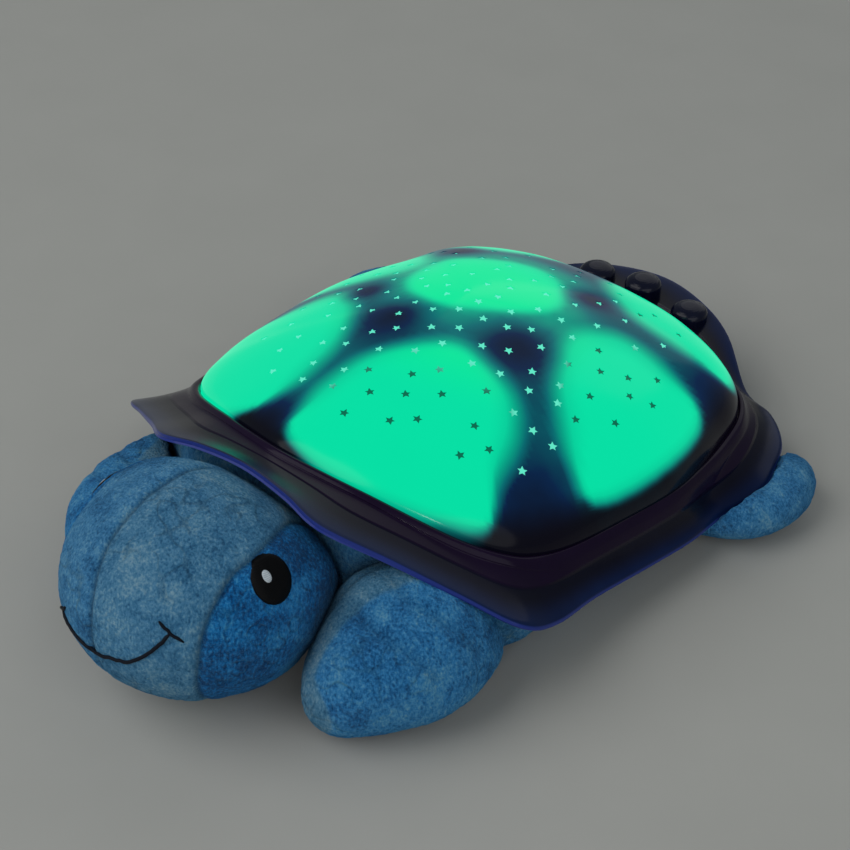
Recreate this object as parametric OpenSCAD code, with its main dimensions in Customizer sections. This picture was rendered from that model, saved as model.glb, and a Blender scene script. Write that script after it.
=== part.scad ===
// Star night light projector: a plush turtle that carries a glossy, star-pierced light dome.
// Millimetres, +Z up. The origin is the centre of the belly on the floor; the head looks along -Y.
// The shell is one closed ring of stations, from the neck round to the tail. The brim, the dome,
// the base tray and the plush body are all lofted from those same stations.

/* [Shell] */
// Width of the brim from lip to lip
brim_w = 210; // [204:1:224]
// Reach of the brim's lip ahead of the origin
brim_front = 107; // [104:1:116]
// Reach of the brim's lip behind the origin
brim_rear = 154; // [150:1:166]
// Width of the dome at its foot
dome_w = 189; // [180:1:194]
// Reach of the dome's foot ahead of the origin
dome_front = 83; // [78:1:86]
// Reach of the dome's foot behind the origin
dome_rear = 122; // [116:1:123]
// Height of the dome's crown above the floor
dome_top_z = 88; // [80:1:105]
// Wall of the dome
dome_wall = 2.2; // [1.6:0.1:3]
// Wall of the brim and its skirt
brim_wall = 2.2; // [1.8:0.1:2.8]
// Width of the raised bead round the dome's foot
bead_w = 6; // [4:0.5:8]
// Height of the bead over the brim
bead_h = 1.8; // [1:0.1:2.6]
// Width of the ledge that the dome stands on
ledge_w = 13; // [11:0.5:15]
// Depth of the ledge under the dome's outer edge
ledge_drop = 2; // [1.5:0.1:2.5]

/* [Stars] */
// Number of star holes in the dome
star_count = 84; // [60:1:96]
// Radius of a star hole's points
star_r = 2.1; // [1.6:0.1:2.4]
// Share of the dome's radius that the stars reach
star_reach = 0.76; // [0.6:0.01:0.8]

/* [Base tray] */
// Height of the tray's flange, where the shell's skirt stands
flange_z = 20; // [19.5:0.1:20.5]
// Wall of the tray
tray_wall = 2.2; // [1.8:0.1:2.6]
// Height of the tray's underside above the floor
tray_z = 5.4; // [5.2:0.1:5.6]
// Width of the electronics tub under the flange
tub_w = 128; // [122:1:134]
// Length of the electronics tub
tub_l = 116; // [112:1:120]
// Place of the tub's centre behind the origin
tub_y = 15; // [12:1:18]
// Radius of a shell screw's shank
shell_screw_r = 1.5; // [1.2:0.1:1.8]

/* [Batteries] */
// Diameter of a battery cell
cell_d = 10.5; // [10:0.1:11]
// Length of a battery cell
cell_l = 44.5; // [44:0.5:46]
// Gap between neighbouring cells
cell_gap = 1; // [0.8:0.1:1.4]
// Room for a contact and its spring at each end
contact_room = 4.2; // [4:0.1:5]

/* [Board] */
// Width of the main board
board_w = 104; // [102:1:108]
// Length of the main board
board_l = 76; // [72:1:80]
// Thickness of the circuit boards
board_t = 1.6; // [1.2:0.1:1.8]
// Height of the main board's underside
board_z = 22.2; // [22:0.1:22.6]
// Diameter of a light-emitting diode
led_d = 5; // [4.8:0.1:5.2]

/* [Buttons] */
// Diameter of a button cap
button_d = 16; // [15:0.5:16.5]
// Distance of the side buttons from the centre line
button_pitch = 25; // [24:0.5:27]
// Distance of the button row behind the dome's foot
button_back = 14.5; // [14:0.5:15]
// Height of the side caps' tops
button_top_z = 39; // [38:0.5:41]
// Extra height of the centre cap
centre_extra = 4; // [2:0.5:6]
// Travel of a button
button_travel = 1; // [0.6:0.1:1.1]
// Radius of a button's guide stem
stem_r = 6; // [5.5:0.1:6.5]

/* [Plush] */
// Half width of the head
head_rx = 52; // [46:1:56]
// Half length of the head
head_ry = 52; // [48:1:56]
// Height of the head
head_h = 86; // [80:1:88]
// Place of the head's centre ahead of the origin
head_y = 128; // [124:1:132]
// Thickness of a front flipper
front_flipper_t = 42; // [36:1:46]
// Thickness of a rear flipper
rear_flipper_t = 27; // [22:1:29]
// Width of the belly flap
flap_w = 84; // [82:1:88]
// Length of the belly flap
flap_l = 68; // [66:1:72]
// Thickness of the belly flap's cloth
flap_t = 1.2; // [0.8:0.1:1.3]
// Radius of an eye, measured upright
eye_r = 8.7; // [7:0.1:10]

/* [Fits] */
// Radial clearance of a stem in its guide
run_clear = 0.06; // [0.03:0.01:0.1]
// Gap between parts that are laid together
seat_gap = 0.3; // [0.25:0.05:0.4]
// Gap between the plush and its neighbours
soft_gap = 0.6; // [0.5:0.1:0.8]

/* [Hidden] */

// Colours
navy = "#10142c";
glow = "#0c9a78";
plush_blue = "#4377ad";
board_green = "#1e6b45";
metal = "#b9bcc2";

// ---------------------------------------------------------------- stations of the shell
// Each station of the left half: the lip's and the foot's place as shares of the reaches above,
// and their heights. The first is over the neck and the last over the tail.
STATIONS = [
    // lip: across, along, height   foot: across, along, height
    [[0,     -0.972, 77.5],  [0,     -1,     70]],
    [[0.206, -0.986, 76.2],    [0.208, -0.962, 67.5]],
    [[0.382, -1,     72.5],  [0.384, -0.908, 64]],
    [[0.581, -0.882, 61],    [0.556, -0.835, 58.6]],
    [[0.79,  -0.768, 49.5],  [0.709, -0.753, 53]],
    [[0.968, -0.662, 39],    [0.825, -0.65,  48]],
    [[0.99,  -0.5,   30.5],  [0.894, -0.524, 44]],
    [[0.968, -0.25,  24.6],  [0.947, -0.325, 41.6]],
    [[0.985, 0.03,   20.6],  [0.985, 0.02,   39.2]],
    [[0.996, 0.19,   17.8],  [1,     0.235,  36.6]],
    [[0.99,  0.325,  16.4],  [0.972, 0.41,   34]],
    [[1.025, 0.468,  18.2],  [0.92,  0.585,  31.4]],
    [[0.98,  0.58,   18.2],  [0.868, 0.735,  31]],
    [[0.91,  0.685,  17.6],  [0.778, 0.845,  30.2]],
    [[0.785, 0.762,  18.4],  [0.655, 0.915,  30.4]],
    [[0.645, 0.78,   22],    [0.53,  0.955,  31.4]],
    [[0.425, 0.903,  30.2],  [0.38,  0.982,  33]],
    [[0.228, 0.968,  33.6],  [0.2,   0.995,  34]],
    [[0,     1,      34.6],  [0,     1,      34.4]]
];
STEPS = 2;               // points of a ring between two stations

function place(s, half_w, front, rear) =
    [s.x * half_w, s.y * (s.y < 0 ? front : rear), s.z];
function mirrored(half) =
    concat(half, [for (i = [len(half) - 2:-1:1]) [-half[i].x, half[i].y, half[i].z]]);
// Catmull-Rom curve between p1 and p2
function spline(p0, p1, p2, p3, t) =
    0.5 * (2 * p1 + (p2 - p0) * t + (2 * p0 - 5 * p1 + 4 * p2 - p3) * t * t
           + (3 * p1 - p0 - 3 * p2 + p3) * t * t * t);
function ring(P, steps) =
    let (n = len(P))
    [for (i = [0:n - 1], j = [0:steps - 1])
        spline(P[(i + n - 1) % n], P[i], P[(i + 1) % n], P[(i + 2) % n], j / steps)];

LIP = ring(mirrored([for (s = STATIONS) place(s[0], brim_w / 2, brim_front, brim_rear)]), STEPS);
FOOT = ring(mirrored([for (s = STATIONS) place(s[1], dome_w / 2, dome_front, dome_rear)]), STEPS);
N = len(LIP);

// Straight line from the foot to the lip, and points at a distance s along it, raised by dz
function flat(v) = [v.x, v.y, 0];
function run(i) = norm(flat(LIP[i] - FOOT[i]));
function along(i, s, dz = 0) =
    let (u = (LIP[i] - FOOT[i]) / run(i))
    FOOT[i] + u * s + [0, 0, dz];
// Points inside the foot keep the height z that they are given
function inside(i, s, z) =
    let (u = flat(LIP[i] - FOOT[i]) / run(i))
    flat(FOOT[i]) + u * s + [0, 0, z];
function foot_z(i) = FOOT[i].z;

// ---------------------------------------------------------------- lofting
// Closed ring of closed sections; sections run clockwise seen along the sweep
module torus_loft(S) {
    n = len(S);
    m = len(S[0]);
    function id(i, k) = (i % n) * m + (k % m);
    polyhedron(
        points = [for (s = S) each s],
        faces = [for (i = [0:n - 1], k = [0:m - 1])
            each [[id(i, k), id(i + 1, k), id(i + 1, k + 1)],
                  [id(i, k), id(i + 1, k + 1), id(i, k + 1)]]],
        convexity = 10
    );
}

// Stack of rings closed by a point at each end; rings run anticlockwise seen from the last
module pole_loft(first, R, last) {
    n = len(R);
    m = len(R[0]);
    function id(i, k) = 1 + i * m + (k % m);
    top = 1 + n * m;
    polyhedron(
        points = concat([first], [for (r = R) each r], [last]),
        faces = concat(
            [for (k = [0:m - 1]) [0, id(0, k), id(0, k + 1)]],
            [for (i = [0:n - 2], k = [0:m - 1])
                each [[id(i, k), id(i + 1, k), id(i + 1, k + 1)],
                      [id(i, k), id(i + 1, k + 1), id(i, k + 1)]]],
            [for (k = [0:m - 1]) [top, id(n - 1, k + 1), id(n - 1, k)]]
        ),
        convexity = 10
    );
}

// ---------------------------------------------------------------- dome
crown = [0, 20, dome_top_z];
DOME_LEVELS = [1, 0.97, 0.92, 0.85, 0.76, 0.65, 0.52, 0.38, 0.24, 0.11];
dome_seat = 0.12;        // thin gap between the dome's foot and its ledge
dome_p = 1.3;            // shape of the dome's profile, across
dome_q = 0.55;           // shape of the dome's profile, upright
// Height of the dome's outside at share t of the way from the crown to the foot's station i
function dome_rise(t) = pow(max(0, 1 - pow(t, dome_p)), dome_q);
function dome_pt(i, t) =
    [FOOT[i].x * t, crown.y + (FOOT[i].y - crown.y) * t,
     foot_z(i) + (crown.z - foot_z(i)) * dome_rise(t)];
// The inside is the outside drawn in by the wall, square to the profile
function dome_in(i, t) =
    let (a = dome_pt(i, min(1, t + 0.01)), b = dome_pt(i, max(0, t - 0.01)),
         r = flat(a - b), slope = (b.z - a.z) / norm(r), c = 1 / sqrt(1 + slope * slope),
         q = dome_pt(i, t) - r / norm(r) * dome_wall * slope * c)
    [q.x, q.y, t == 1 ? foot_z(i) - ledge_drop + dome_seat : q.z - dome_wall * c];
function dome_foot(i) = inside(i, 0, foot_z(i) - ledge_drop + dome_seat);

// Stars: a sunflower spread over the dome, each nudged and turned a little
golden = 137.508;
function nudge(i, k) = let (h = sin(i * 78.233 + k * 37.719) * 4375.85) h - floor(h);
function star_share(i) = star_reach * sqrt((i + 0.6 + 0.5 * nudge(i, 1)) / (star_count + 1));
function star_angle(i) = i * golden + 14 * nudge(i, 2);
// Ring position, as a real number of points, that lies at the angle a round the crown
function ring_at(a) =
    let (w = ((a + 90) % 360 + 360) % 360,
         A = [for (k = [0:N - 1])
             ((atan2(FOOT[k].y - crown.y, FOOT[k].x) + 90) % 360 + 360) % 360],
         hit = [for (k = [0:N - 1]) let (lo = A[k], hi = k == N - 1 ? 360 : A[k + 1])
             if (w >= lo && w < hi) k + (w - lo) / (hi - lo)])
    len(hit) > 0 ? hit[0] : 0;
function between(k, t) =
    let (i = floor(k), f = k - i, a = dome_pt(i % N, t), b = dome_pt((i + 1) % N, t))
    a + (b - a) * f;
function star_tilt(p, t, k) =
    let (q = between(k, t + 0.02), r = norm(flat(q - p)))
    [0, atan2(p.z - q.z, r), atan2(q.y - p.y, q.x - p.x)];

module star_prism(r, h) {
    linear_extrude(h, center = true)
        polygon([for (k = [0:9]) let (a = 36 * k, s = k % 2 == 0 ? r : 0.47 * r)
            [s * cos(a), s * sin(a)]]);
}

module star_hole(i) {
    t = star_share(i);
    k = ring_at(star_angle(i));
    p = between(k, t);
    translate(p)
        rotate(star_tilt(p, t, k))
            rotate(72 * nudge(i, 3))
                star_prism(star_r, 4 * dome_wall);
}

// Eight lugs under the dome's rim drop into slots of the brim's ledge
tab_count = 8;
tab_w = 5;
tab_t = 1.6;
tab_drop = 2;            // reach of a lug below the ledge's top
tab_in = 5;              // distance of a lug inside the dome's foot
lug_bar = 2;             // height of the bar that joins a lug to the dome's wall
dome_tabs = [for (i = [0:tab_count - 1]) round((i + 0.5) / tab_count * N)];

// Box across the ledge at station i, from z0 to z1 over the ledge's top
module ledge_box(i, w, t, z0, z1) {
    u = LIP[i] - FOOT[i];
    translate(inside(i, -tab_in, foot_z(i) - ledge_drop))
        rotate(atan2(u.y, u.x))
            translate([-t / 2, -w / 2, z0])
                cube([t, w, z1 - z0]);
}

module dome_shell() {
    color(glow)
        difference() {
            union() {
                pole_loft(
                    crown - [0, 0, dome_wall],
                    concat(
                        [for (l = [len(DOME_LEVELS) - 1:-1:0])
                            [for (i = [0:N - 1]) dome_in(i, DOME_LEVELS[l])]],
                        [[for (i = [0:N - 1]) dome_foot(i)]],
                        [for (l = [0:len(DOME_LEVELS) - 1])
                            [for (i = [0:N - 1]) dome_pt(i, DOME_LEVELS[l])]]
                    ),
                    crown
                );
                for (i = dome_tabs) {
                    ledge_box(i, tab_w, tab_t, -tab_drop, lug_bar);
                    ledge_box(i, tab_w, tab_in + tab_t, 0.2, lug_bar);
                }
            }
            for (i = [0:star_count - 1])
                star_hole(i);
        }
}

// ---------------------------------------------------------------- brim
// Slope of the brim at station i, and the points that lie one wall under its top
function slope(i) = (FOOT[i].z - LIP[i].z) / run(i);
function stretch(i) = sqrt(1 + slope(i) * slope(i));
function below(i, s, dz, w = brim_wall) =
    along(i, s - slope(i) / stretch(i) * w, dz - w * stretch(i));
groove = 0.6;            // depth of the groove outside the bead
dish = 0.9;              // hollow of the brim between bead and lip

function brim_mid(i) = (bead_w + run(i)) / 2;

// Ledge, bead, brim, lip, underside and skirt, clockwise seen along the ring
function brim_section(i) =
    let (r = run(i), mid = brim_mid(i), ledge = foot_z(i) - ledge_drop)
    [
        inside(i, -ledge_w, ledge),
        inside(i, seat_gap, ledge),
        along(i, seat_gap + 0.1, 0.4),
        along(i, bead_w / 2, bead_h),
        along(i, bead_w, -groove),
        along(i, mid, -dish),
        along(i, r - 0.7),
        along(i, r, -brim_wall * 0.4),
        below(i, r, 0),
        below(i, mid, -dish),
        below(i, bead_w, -groove),
        inside(i, 0, ledge - brim_wall),
        inside(i, brim_wall - ledge_w, ledge - brim_wall),
        inside(i, brim_wall - ledge_w, flange_z),
        inside(i, -ledge_w, flange_z)
    ];

// Screw posts inside the skirt
post_r = 4.5;
post_stations = [for (u = [0.12, 0.444, 0.556, 0.88]) round(u * N)];
pilot_depth = 6.6;
thread_gap = 0.05;       // between a screw and its pilot hole
function post_at(i) = flat(inside(i, -ledge_w - post_r, 0));

module skirt_rib(i, side) {
    u = LIP[i] - FOOT[i];
    hull()
        for (z = [flange_z + 0.3, foot_z(i) - ledge_drop - 0.5])
            translate([post_at(i).x, post_at(i).y, z])
                rotate(atan2(u.y, u.x))
                    translate([0, side * (post_r - 1) - 0.6, 0])
                        cube([post_r + 0.4, 1.2, 0.5]);
}

// Posts under the tail deck that hold the button frame
button_y = dome_rear + button_back;
frame_top = 25;          // height of the button frame's top
hanger_r = 3.2;
hanger_x = button_pitch / 2;
hanger_y = button_y - 5.5;
frame_screw_r = 1.1;
deck_z = 33;             // about the height of the tail deck

button_xs = [button_pitch, 0, -button_pitch];
cap_gap = 0.4;           // round a cap where it comes through the deck
ribbon_w = 9;

module shell_brim() {
    color(navy)
        difference() {
            union() {
                torus_loft([for (i = [0:N - 1]) brim_section(i)]);
                for (i = post_stations) {
                    translate([post_at(i).x, post_at(i).y, flange_z])
                        cylinder(r = post_r, h = foot_z(i) - ledge_drop - flange_z, $fn = 24);
                    for (side = [-1, 1])
                        skirt_rib(i, side);
                }
                for (side = [-1, 1])
                    translate([side * hanger_x, hanger_y, frame_top])
                        cylinder(r = hanger_r, h = deck_z - 1 - frame_top, $fn = 20);
            }
            for (i = dome_tabs) {
                ledge_box(i, tab_w + 2 * seat_gap, tab_t + 2 * seat_gap, -tab_drop - 2, lug_bar);
                ledge_box(i, tab_w + 2 * seat_gap, tab_in + tab_t + 2 * seat_gap, -0.1, lug_bar + 1);
            }
            for (i = post_stations)
                translate([post_at(i).x, post_at(i).y, flange_z - 0.1])
                    cylinder(r = shell_screw_r + thread_gap, h = pilot_depth + 0.1, $fn = 16);
            for (side = [-1, 1])
                translate([side * hanger_x, hanger_y, frame_top - 0.1])
                    cylinder(r = frame_screw_r + thread_gap, h = 4.1, $fn = 12);
            for (x = button_xs)
                translate([x, button_y, flange_z])
                    cylinder(r = button_d / 2 + cap_gap, h = 30, $fn = 36);
            // notch in the skirt for the ribbon to the buttons
            translate([-ribbon_w / 2 - 1, dome_rear - ledge_w - 4, flange_z + tray_rib_h + 0.6])
                cube([ribbon_w + 2, 8, 3]);
        }
}

// ---------------------------------------------------------------- base tray
tray_rib_h = 2;          // locating rib inside the skirt's foot
tray_rib_t = 1.4;
door_t = 2;
door_rib = 0.8;          // ribs that carry the cells
bay_wall = 3.1;
bay_w = cell_l + 2 * contact_room;
bay_l = 3 * cell_d + 2 * cell_gap + 1;
cell_z = tray_z + door_t + door_rib + 0.05 + cell_d / 2;
bay_top = cell_z + cell_d / 2 + 0.35;
bay_roof = 1.4;
door_w = bay_w + 3;
door_l = bay_l + 3;
door_front = tub_y - door_l / 2;
tongue_w = 12;
tongue_l = 9;
door_screw_y = tub_y + door_l / 2 + tongue_l - 4.2;
door_screw_r = 1.3;
hook_w = 8;              // tabs on the door's front edge
hook_x = 16;
board_hole_x = board_w / 2 - 5;
board_hole_y = board_l / 2 - 5;
door_boss_r = 3.6;
door_boss_h = 7;
board_screw_r = 1.2;
standoff_r = 3.2;

// Point at angle a of an oval with half axes p and q; a high n makes it squarer
function oval(a, p, q, n) =
    let (r = pow(pow(abs(cos(a)) / p, n) + pow(abs(sin(a)) / q, n), -1 / n))
    [r * cos(a), r * sin(a)];
function oval_ring(p, q, n, count = 64) = [for (k = [0:count - 1]) oval(k * 360 / count, p, q, n)];
tub_n = 5;

module skirt_outline(s) {
    polygon([for (i = [0:N - 1]) let (p = inside(i, s, 0)) [p.x, p.y]]);
}

module tub_outline(inset) {
    translate([0, tub_y]) polygon(oval_ring(tub_w / 2 - inset, tub_l / 2 - inset, tub_n));
}

module at_posts() {
    for (i = post_stations) translate([post_at(i).x, post_at(i).y, 0]) children();
}

module at_board_holes() {
    for (x = [-board_hole_x, board_hole_x], y = [-board_hole_y, board_hole_y])
        translate([x, tub_y + y, 0]) children();
}

module centred_box(w, l, z0, z1, y = tub_y) {
    translate([-w / 2, y - l / 2, z0]) cube([w, l, z1 - z0]);
}

module base_tray() {
    color("#2b2f3a")
        difference() {
            union() {
                // flange with its locating rib
                translate([0, 0, flange_z - tray_wall])
                    linear_extrude(tray_wall) skirt_outline(brim_wall - ledge_w - seat_gap);
                translate([0, 0, flange_z])
                    linear_extrude(tray_rib_h)
                        difference() {
                            skirt_outline(-ledge_w - seat_gap);
                            skirt_outline(-ledge_w - seat_gap - tray_rib_t);
                        }
                translate([0, 0, tray_z])
                    linear_extrude(flange_z - tray_z) tub_outline(0);
            }
            // inside of the tub, round the battery bay, the door's boss and the standoffs
            difference() {
                translate([0, 0, tray_z + tray_wall])
                    linear_extrude(flange_z) tub_outline(tray_wall);
                centred_box(bay_w + 2 * bay_wall, bay_l + 2 * bay_wall, 0, bay_top + bay_roof);
                translate([0, door_screw_y, 0])
                    cylinder(r = door_boss_r, h = tray_z + door_t + door_boss_h, $fn = 32);
                at_board_holes() cylinder(r = standoff_r, h = board_z, $fn = 32);
            }
            centred_box(bay_w, bay_l, tray_z - 1, bay_top);
            // recess of the door and of its tongue, and slots for its two hooks
            centred_box(door_w + 2 * seat_gap, door_l + 2 * seat_gap, 0, tray_z + door_t + 0.1);
            translate([-tongue_w / 2 - seat_gap, tub_y, 0])
                cube([tongue_w + 2 * seat_gap, door_l / 2 + tongue_l + seat_gap, tray_z + door_t + 0.1]);
            for (x = [-hook_x, hook_x])
                translate([x - hook_w / 2 - seat_gap, door_front - 3.6, tray_z + 0.7])
                    cube([hook_w + 2 * seat_gap, 5.4, 5.4]);
            translate([0, door_screw_y, 0])
                cylinder(r = door_screw_r + thread_gap, h = tray_z + door_t + door_boss_h - 1, $fn = 32);
            // slots for the two leads at the bay's roof
            for (side = [-1, 1])
                translate([side * (bay_w / 2 - 1.6), tub_y, bay_top - 1])
                    cylinder(r = 1.6, h = 4, $fn = 24);
            at_board_holes()
                translate([0, 0, board_z - 6])
                    cylinder(r = board_screw_r + thread_gap, h = 10, $fn = 24);
            at_posts()
                translate([0, 0, flange_z - 5])
                    cylinder(r = shell_screw_r + 0.2, h = 10, $fn = 32);
            at_posts()
                translate([0, 0, flange_z])
                    cylinder(r = post_r + 0.5, h = 10, $fn = 32);
            for (i = post_stations, side = [-1, 1]) rib_slot(i, side);
            // way through the locating rib for the ribbon
            translate([-ribbon_w / 2 - 1, dome_rear - ledge_w - 6, flange_z])
                cube([ribbon_w + 2, 8, 8]);
        }
}

module rib_slot(i, side) {
    u = LIP[i] - FOOT[i];
    translate([post_at(i).x, post_at(i).y, flange_z])
        rotate(atan2(u.y, u.x))
            translate([-1, side * (post_r - 1) - 1.1, 0])
                cube([post_r + 3, 2.2, 8]);
}

// Pan-head screw standing on z = 0 with its shank upwards and its head below
module screw(r, head_r, head_h, length) {
    rotate_extrude($fn = 32)
        polygon([[0, -head_h], [head_r * 0.75, -head_h], [head_r, -head_h * 0.45], [head_r, 0],
                 [r, 0], [r, length - r * 0.8], [r * 0.45, length], [0, length]]);
}

module shell_screws() {
    color(metal)
        at_posts()
            translate([0, 0, flange_z - tray_wall])
                screw(shell_screw_r, 2.9, 1.8, tray_wall + pilot_depth - 0.6);
}

// ---------------------------------------------------------------- battery door and cells
module battery_door() {
    color("#2b2f3a")
        difference() {
            union() {
                centred_box(door_w, door_l, tray_z, tray_z + door_t);
                translate([-tongue_w / 2, tub_y, tray_z])
                    cube([tongue_w, door_l / 2 + tongue_l, door_t]);
                for (x = [-hook_x, hook_x])
                    translate([x - hook_w / 2, door_front - 2.2, tray_z + door_t - 1])
                        cube([hook_w, 4, 1]);
                for (x = [-bay_w / 4, bay_w / 4])
                    translate([x - 1, tub_y - bay_l / 2 + 1, tray_z + door_t])
                        cube([2, bay_l - 2, door_rib]);
            }
            translate([0, door_screw_y, tray_z - 1])
                cylinder(r = door_screw_r + 0.1, h = door_t + 2, $fn = 32);
            translate([0, door_screw_y, tray_z - 1])
                cylinder(r = 2.6, h = 2, $fn = 32);
        }
}

module door_screw() {
    color(metal)
        translate([0, door_screw_y, tray_z + 1])
            screw(door_screw_r, 2.4, 0.9, 5.4);
}

function cell_y(k) = tub_y + (k - 1) * (cell_d + cell_gap);
// The cells lie head to tail, so every second one is turned round
function cell_turn(k) = k % 2 == 0 ? 1 : -1;

module battery(k) {
    r = cell_d / 2;
    nub_r = 1.9;
    nub = 0.8;
    color(k % 2 == 0 ? "#3c6e57" : "#6c7076")
        translate([0, cell_y(k), cell_z])
            rotate([0, 90 * cell_turn(k), 0])
                rotate_extrude($fn = 48)
                    polygon([[0, -cell_l / 2], [r - 0.6, -cell_l / 2], [r, -cell_l / 2 + 0.6],
                             [r, cell_l / 2 - nub - 0.6], [r - 0.6, cell_l / 2 - nub],
                             [nub_r, cell_l / 2 - nub], [nub_r, cell_l / 2], [0, cell_l / 2]]);
}

plate_t = 0.4;           // sheet of the contacts
spring_turns = 3;
spring_wire = 0.35;      // radius of the wire
spring_r0 = 2.1;
spring_r1 = 3.5;

// Tube swept along points P, with sides corners and each ring square to the way
function unit(v) = v / norm(v);
function heading(P, i) =
    unit(P[min(i + 1, len(P) - 1)] - P[max(i - 1, 0)]);
module tube(P, r, sides) {
    rings = [for (i = [0:len(P) - 1])
        let (d = heading(P, i), ref = abs(d.z) > 0.8 ? [1, 0, 0] : [0, 0, 1],
             e1 = unit(cross(ref, d)), e2 = cross(d, e1))
        [for (k = [0:sides - 1]) P[i] + r * (cos(360 * k / sides) * e1 + sin(360 * k / sides) * e2)]];
    pole_loft(P[0], rings, P[len(P) - 1]);
}

// Cone springs press the flat ends of the cells
module battery_springs() {
    room = contact_room - plate_t - 0.1;
    color(metal)
        for (k = [0:2])
            translate([-cell_turn(k) * (cell_l / 2 + room), cell_y(k), cell_z])
                rotate([0, 90 * cell_turn(k), 0])
                    tube([for (j = [0:8 * spring_turns])
                        let (u = j / (8 * spring_turns), r = spring_r1 + (spring_r0 - spring_r1) * u)
                        [r * cos(45 * j), r * sin(45 * j),
                         spring_wire + 0.05 + u * (room - 2 * spring_wire - 0.1)]],
                        spring_wire, 5);
}

module battery_contacts() {
    pad = contact_room - plate_t / 2 - 0.07;
    color(metal)
        for (k = [0:2], side = [-1, 1])
            translate([side * (bay_w / 2 - plate_t / 2 - 0.05), cell_y(k), cell_z]) {
                cube([plate_t, 8, 8], center = true);
                // raised pad that meets a cell's nub
                if (side == cell_turn(k))
                    translate([-side * pad / 2, 0, 0])
                        cube([pad, 3, 3], center = true);
            }
}

// ---------------------------------------------------------------- electronics
board_top = board_z + board_t;

module main_board() {
    color(board_green)
        difference() {
            centred_box(board_w, board_l, board_z, board_top);
            at_board_holes()
                translate([0, 0, board_z - 1]) cylinder(r = board_screw_r + 0.2, h = 4, $fn = 32);
        }
}

module board_screws() {
    color(metal)
        at_board_holes()
            translate([0, 0, board_top])
                mirror([0, 0, 1])
                    screw(board_screw_r, 2.4, 1.5, board_t + 5);
}

module timer_chip() {
    legs = 8;
    pitch = 1.27;
    color("#17181b")
        translate([26, tub_y - 18, board_top]) {
            translate([-5.2, -2, 0.2]) cube([10.4, 4, 1.6]);
            for (j = [0:legs - 1], side = [-1, 1])
                translate([(j - (legs - 1) / 2) * pitch - 0.2, side * 2.5 - 0.6, 0])
                    cube([0.4, 1.2, 0.5]);
        }
}

module capacitor() {
    color("#20242e")
        translate([-28, tub_y - 18, board_top])
            rotate_extrude($fn = 40)
                polygon([[0, 0], [3, 0], [3, 1.2], [2.8, 1.5], [3, 1.8], [3, 7.6], [2.6, 8], [0, 8]]);
}

module resistors() {
    color("#a8865e")
        for (j = [0:4])
            translate([-34 + 7 * j, tub_y + 24, board_top + 1.1])
                rotate([90, 0, 0]) {
                    cylinder(r = 1.05, h = 5, center = true, $fn = 24);
                    cylinder(r = 0.3, h = 8, center = true, $fn = 16);
                }
}

led_ring = 7;            // distance of each diode from the middle of the dome
holder_h = 8;
led_spots = [for (k = [0:2]) [led_ring * cos(90 + 120 * k), led_ring * sin(90 + 120 * k)]];

module at_led(k) {
    translate([led_spots[k].x, tub_y + led_spots[k].y, board_top]) children();
}

// White collar that holds the three diodes upright on the board
module led_holder() {
    color("#e8e6df")
        difference() {
            translate([0, tub_y, board_top])
                rotate_extrude($fn = 64)
                    polygon([[0, 0], [13, 0], [13, 2], [11.6, 3], [11, holder_h], [0, holder_h]]);
            for (k = [0:2])
                at_led(k) {
                    translate([0, 0, -1]) cylinder(d = led_d + 0.2, h = holder_h + 2, $fn = 32);
                    translate([0, 0, holder_h - 1.2]) cylinder(d = led_d + 1.4, h = 3, $fn = 32);
                }
        }
}

module led(k, shade) {
    r = led_d / 2;
    dome = holder_h + 1.6;
    color(shade)
        at_led(k)
            rotate_extrude($fn = 40)
                polygon(concat(
                    [[0, 0], [r, 0], [r, holder_h - 1.2], [r + 0.4, holder_h - 1.2],
                     [r + 0.4, holder_h - 0.2], [r, holder_h - 0.2]],
                    [for (a = [0:15:75]) [r * cos(a), dome + r * sin(a)]],
                    [[0, dome + r]]
                ));
}

// Cord routes inside the housing, chosen by hand
LEAD_ROUTE = [[24, 0, 19], [24, 0, 21.4], [28, 4, 21.2], [35, 10, 21.3], [45, 16, 21.3],
              [54, 18, 21.3], [56, 18, 23.2], [54, 17.5, 25.6], [50, 17, 25.8], [47.5, 17, 24.5]];
RIBBON_ROUTE = [[131, 16.65], [127.5, 16.65], [124, 17.3], [120, 19.6], [116.5, 22.6], [112.5, 24.2],
                [108, 24.6], [98, 24.6], [80, 24.6], [64, 24.6], [56, 24.4], [51, 23.85], [47, 23.85]];

module lead(side, shade) {
    color(shade)
        tube([for (p = LEAD_ROUTE) [side * p.x, tub_y + p.y, p.z]], 0.65, 8);
}

module button_ribbon() {
    t = 0.45;
    color("#8b8f97")
        rotate([90, 0, 90])
            translate([0, 0, -ribbon_w / 2])
                linear_extrude(ribbon_w)
                    polygon(concat(
                        [for (p = RIBBON_ROUTE) [p.x, p.y]],
                        [for (i = [len(RIBBON_ROUTE) - 1:-1:0]) RIBBON_ROUTE[i] + [t, t]]
                    ));
}

// ---------------------------------------------------------------- buttons
frame_t = 2;
frame_l = 16;
small_board_z = 15;      // underside of the button board
small_board_top = small_board_z + board_t;
switch_h = 3.5;
switch_w = 6;
plunger_r = 1.75;
plunger_out = 1.5;       // reach of a plunger over its switch
stem_z = small_board_top + switch_h + plunger_out;
guide_low = stem_z - 0.9;
flange_top = 27.6;       // top of a cap's flange, under the tail deck
flange_t = 1.2;
flange_out = 1.1;        // reach of the flange round the cap
guide_wall = 1.8;
frame_w = 2 * (button_pitch + stem_r + guide_wall) + 3;
leg_r = 3;
leg_y = button_y + 5;

module button_outline(grow = 0) {
    w = frame_w / 2 + grow;
    l = frame_l / 2 + grow;
    translate([0, button_y])
        polygon([[-w, -l], [w, -l], [w, -2], [w - 9, l], [9 - w, l], [-w, -2]]);
}

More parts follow.
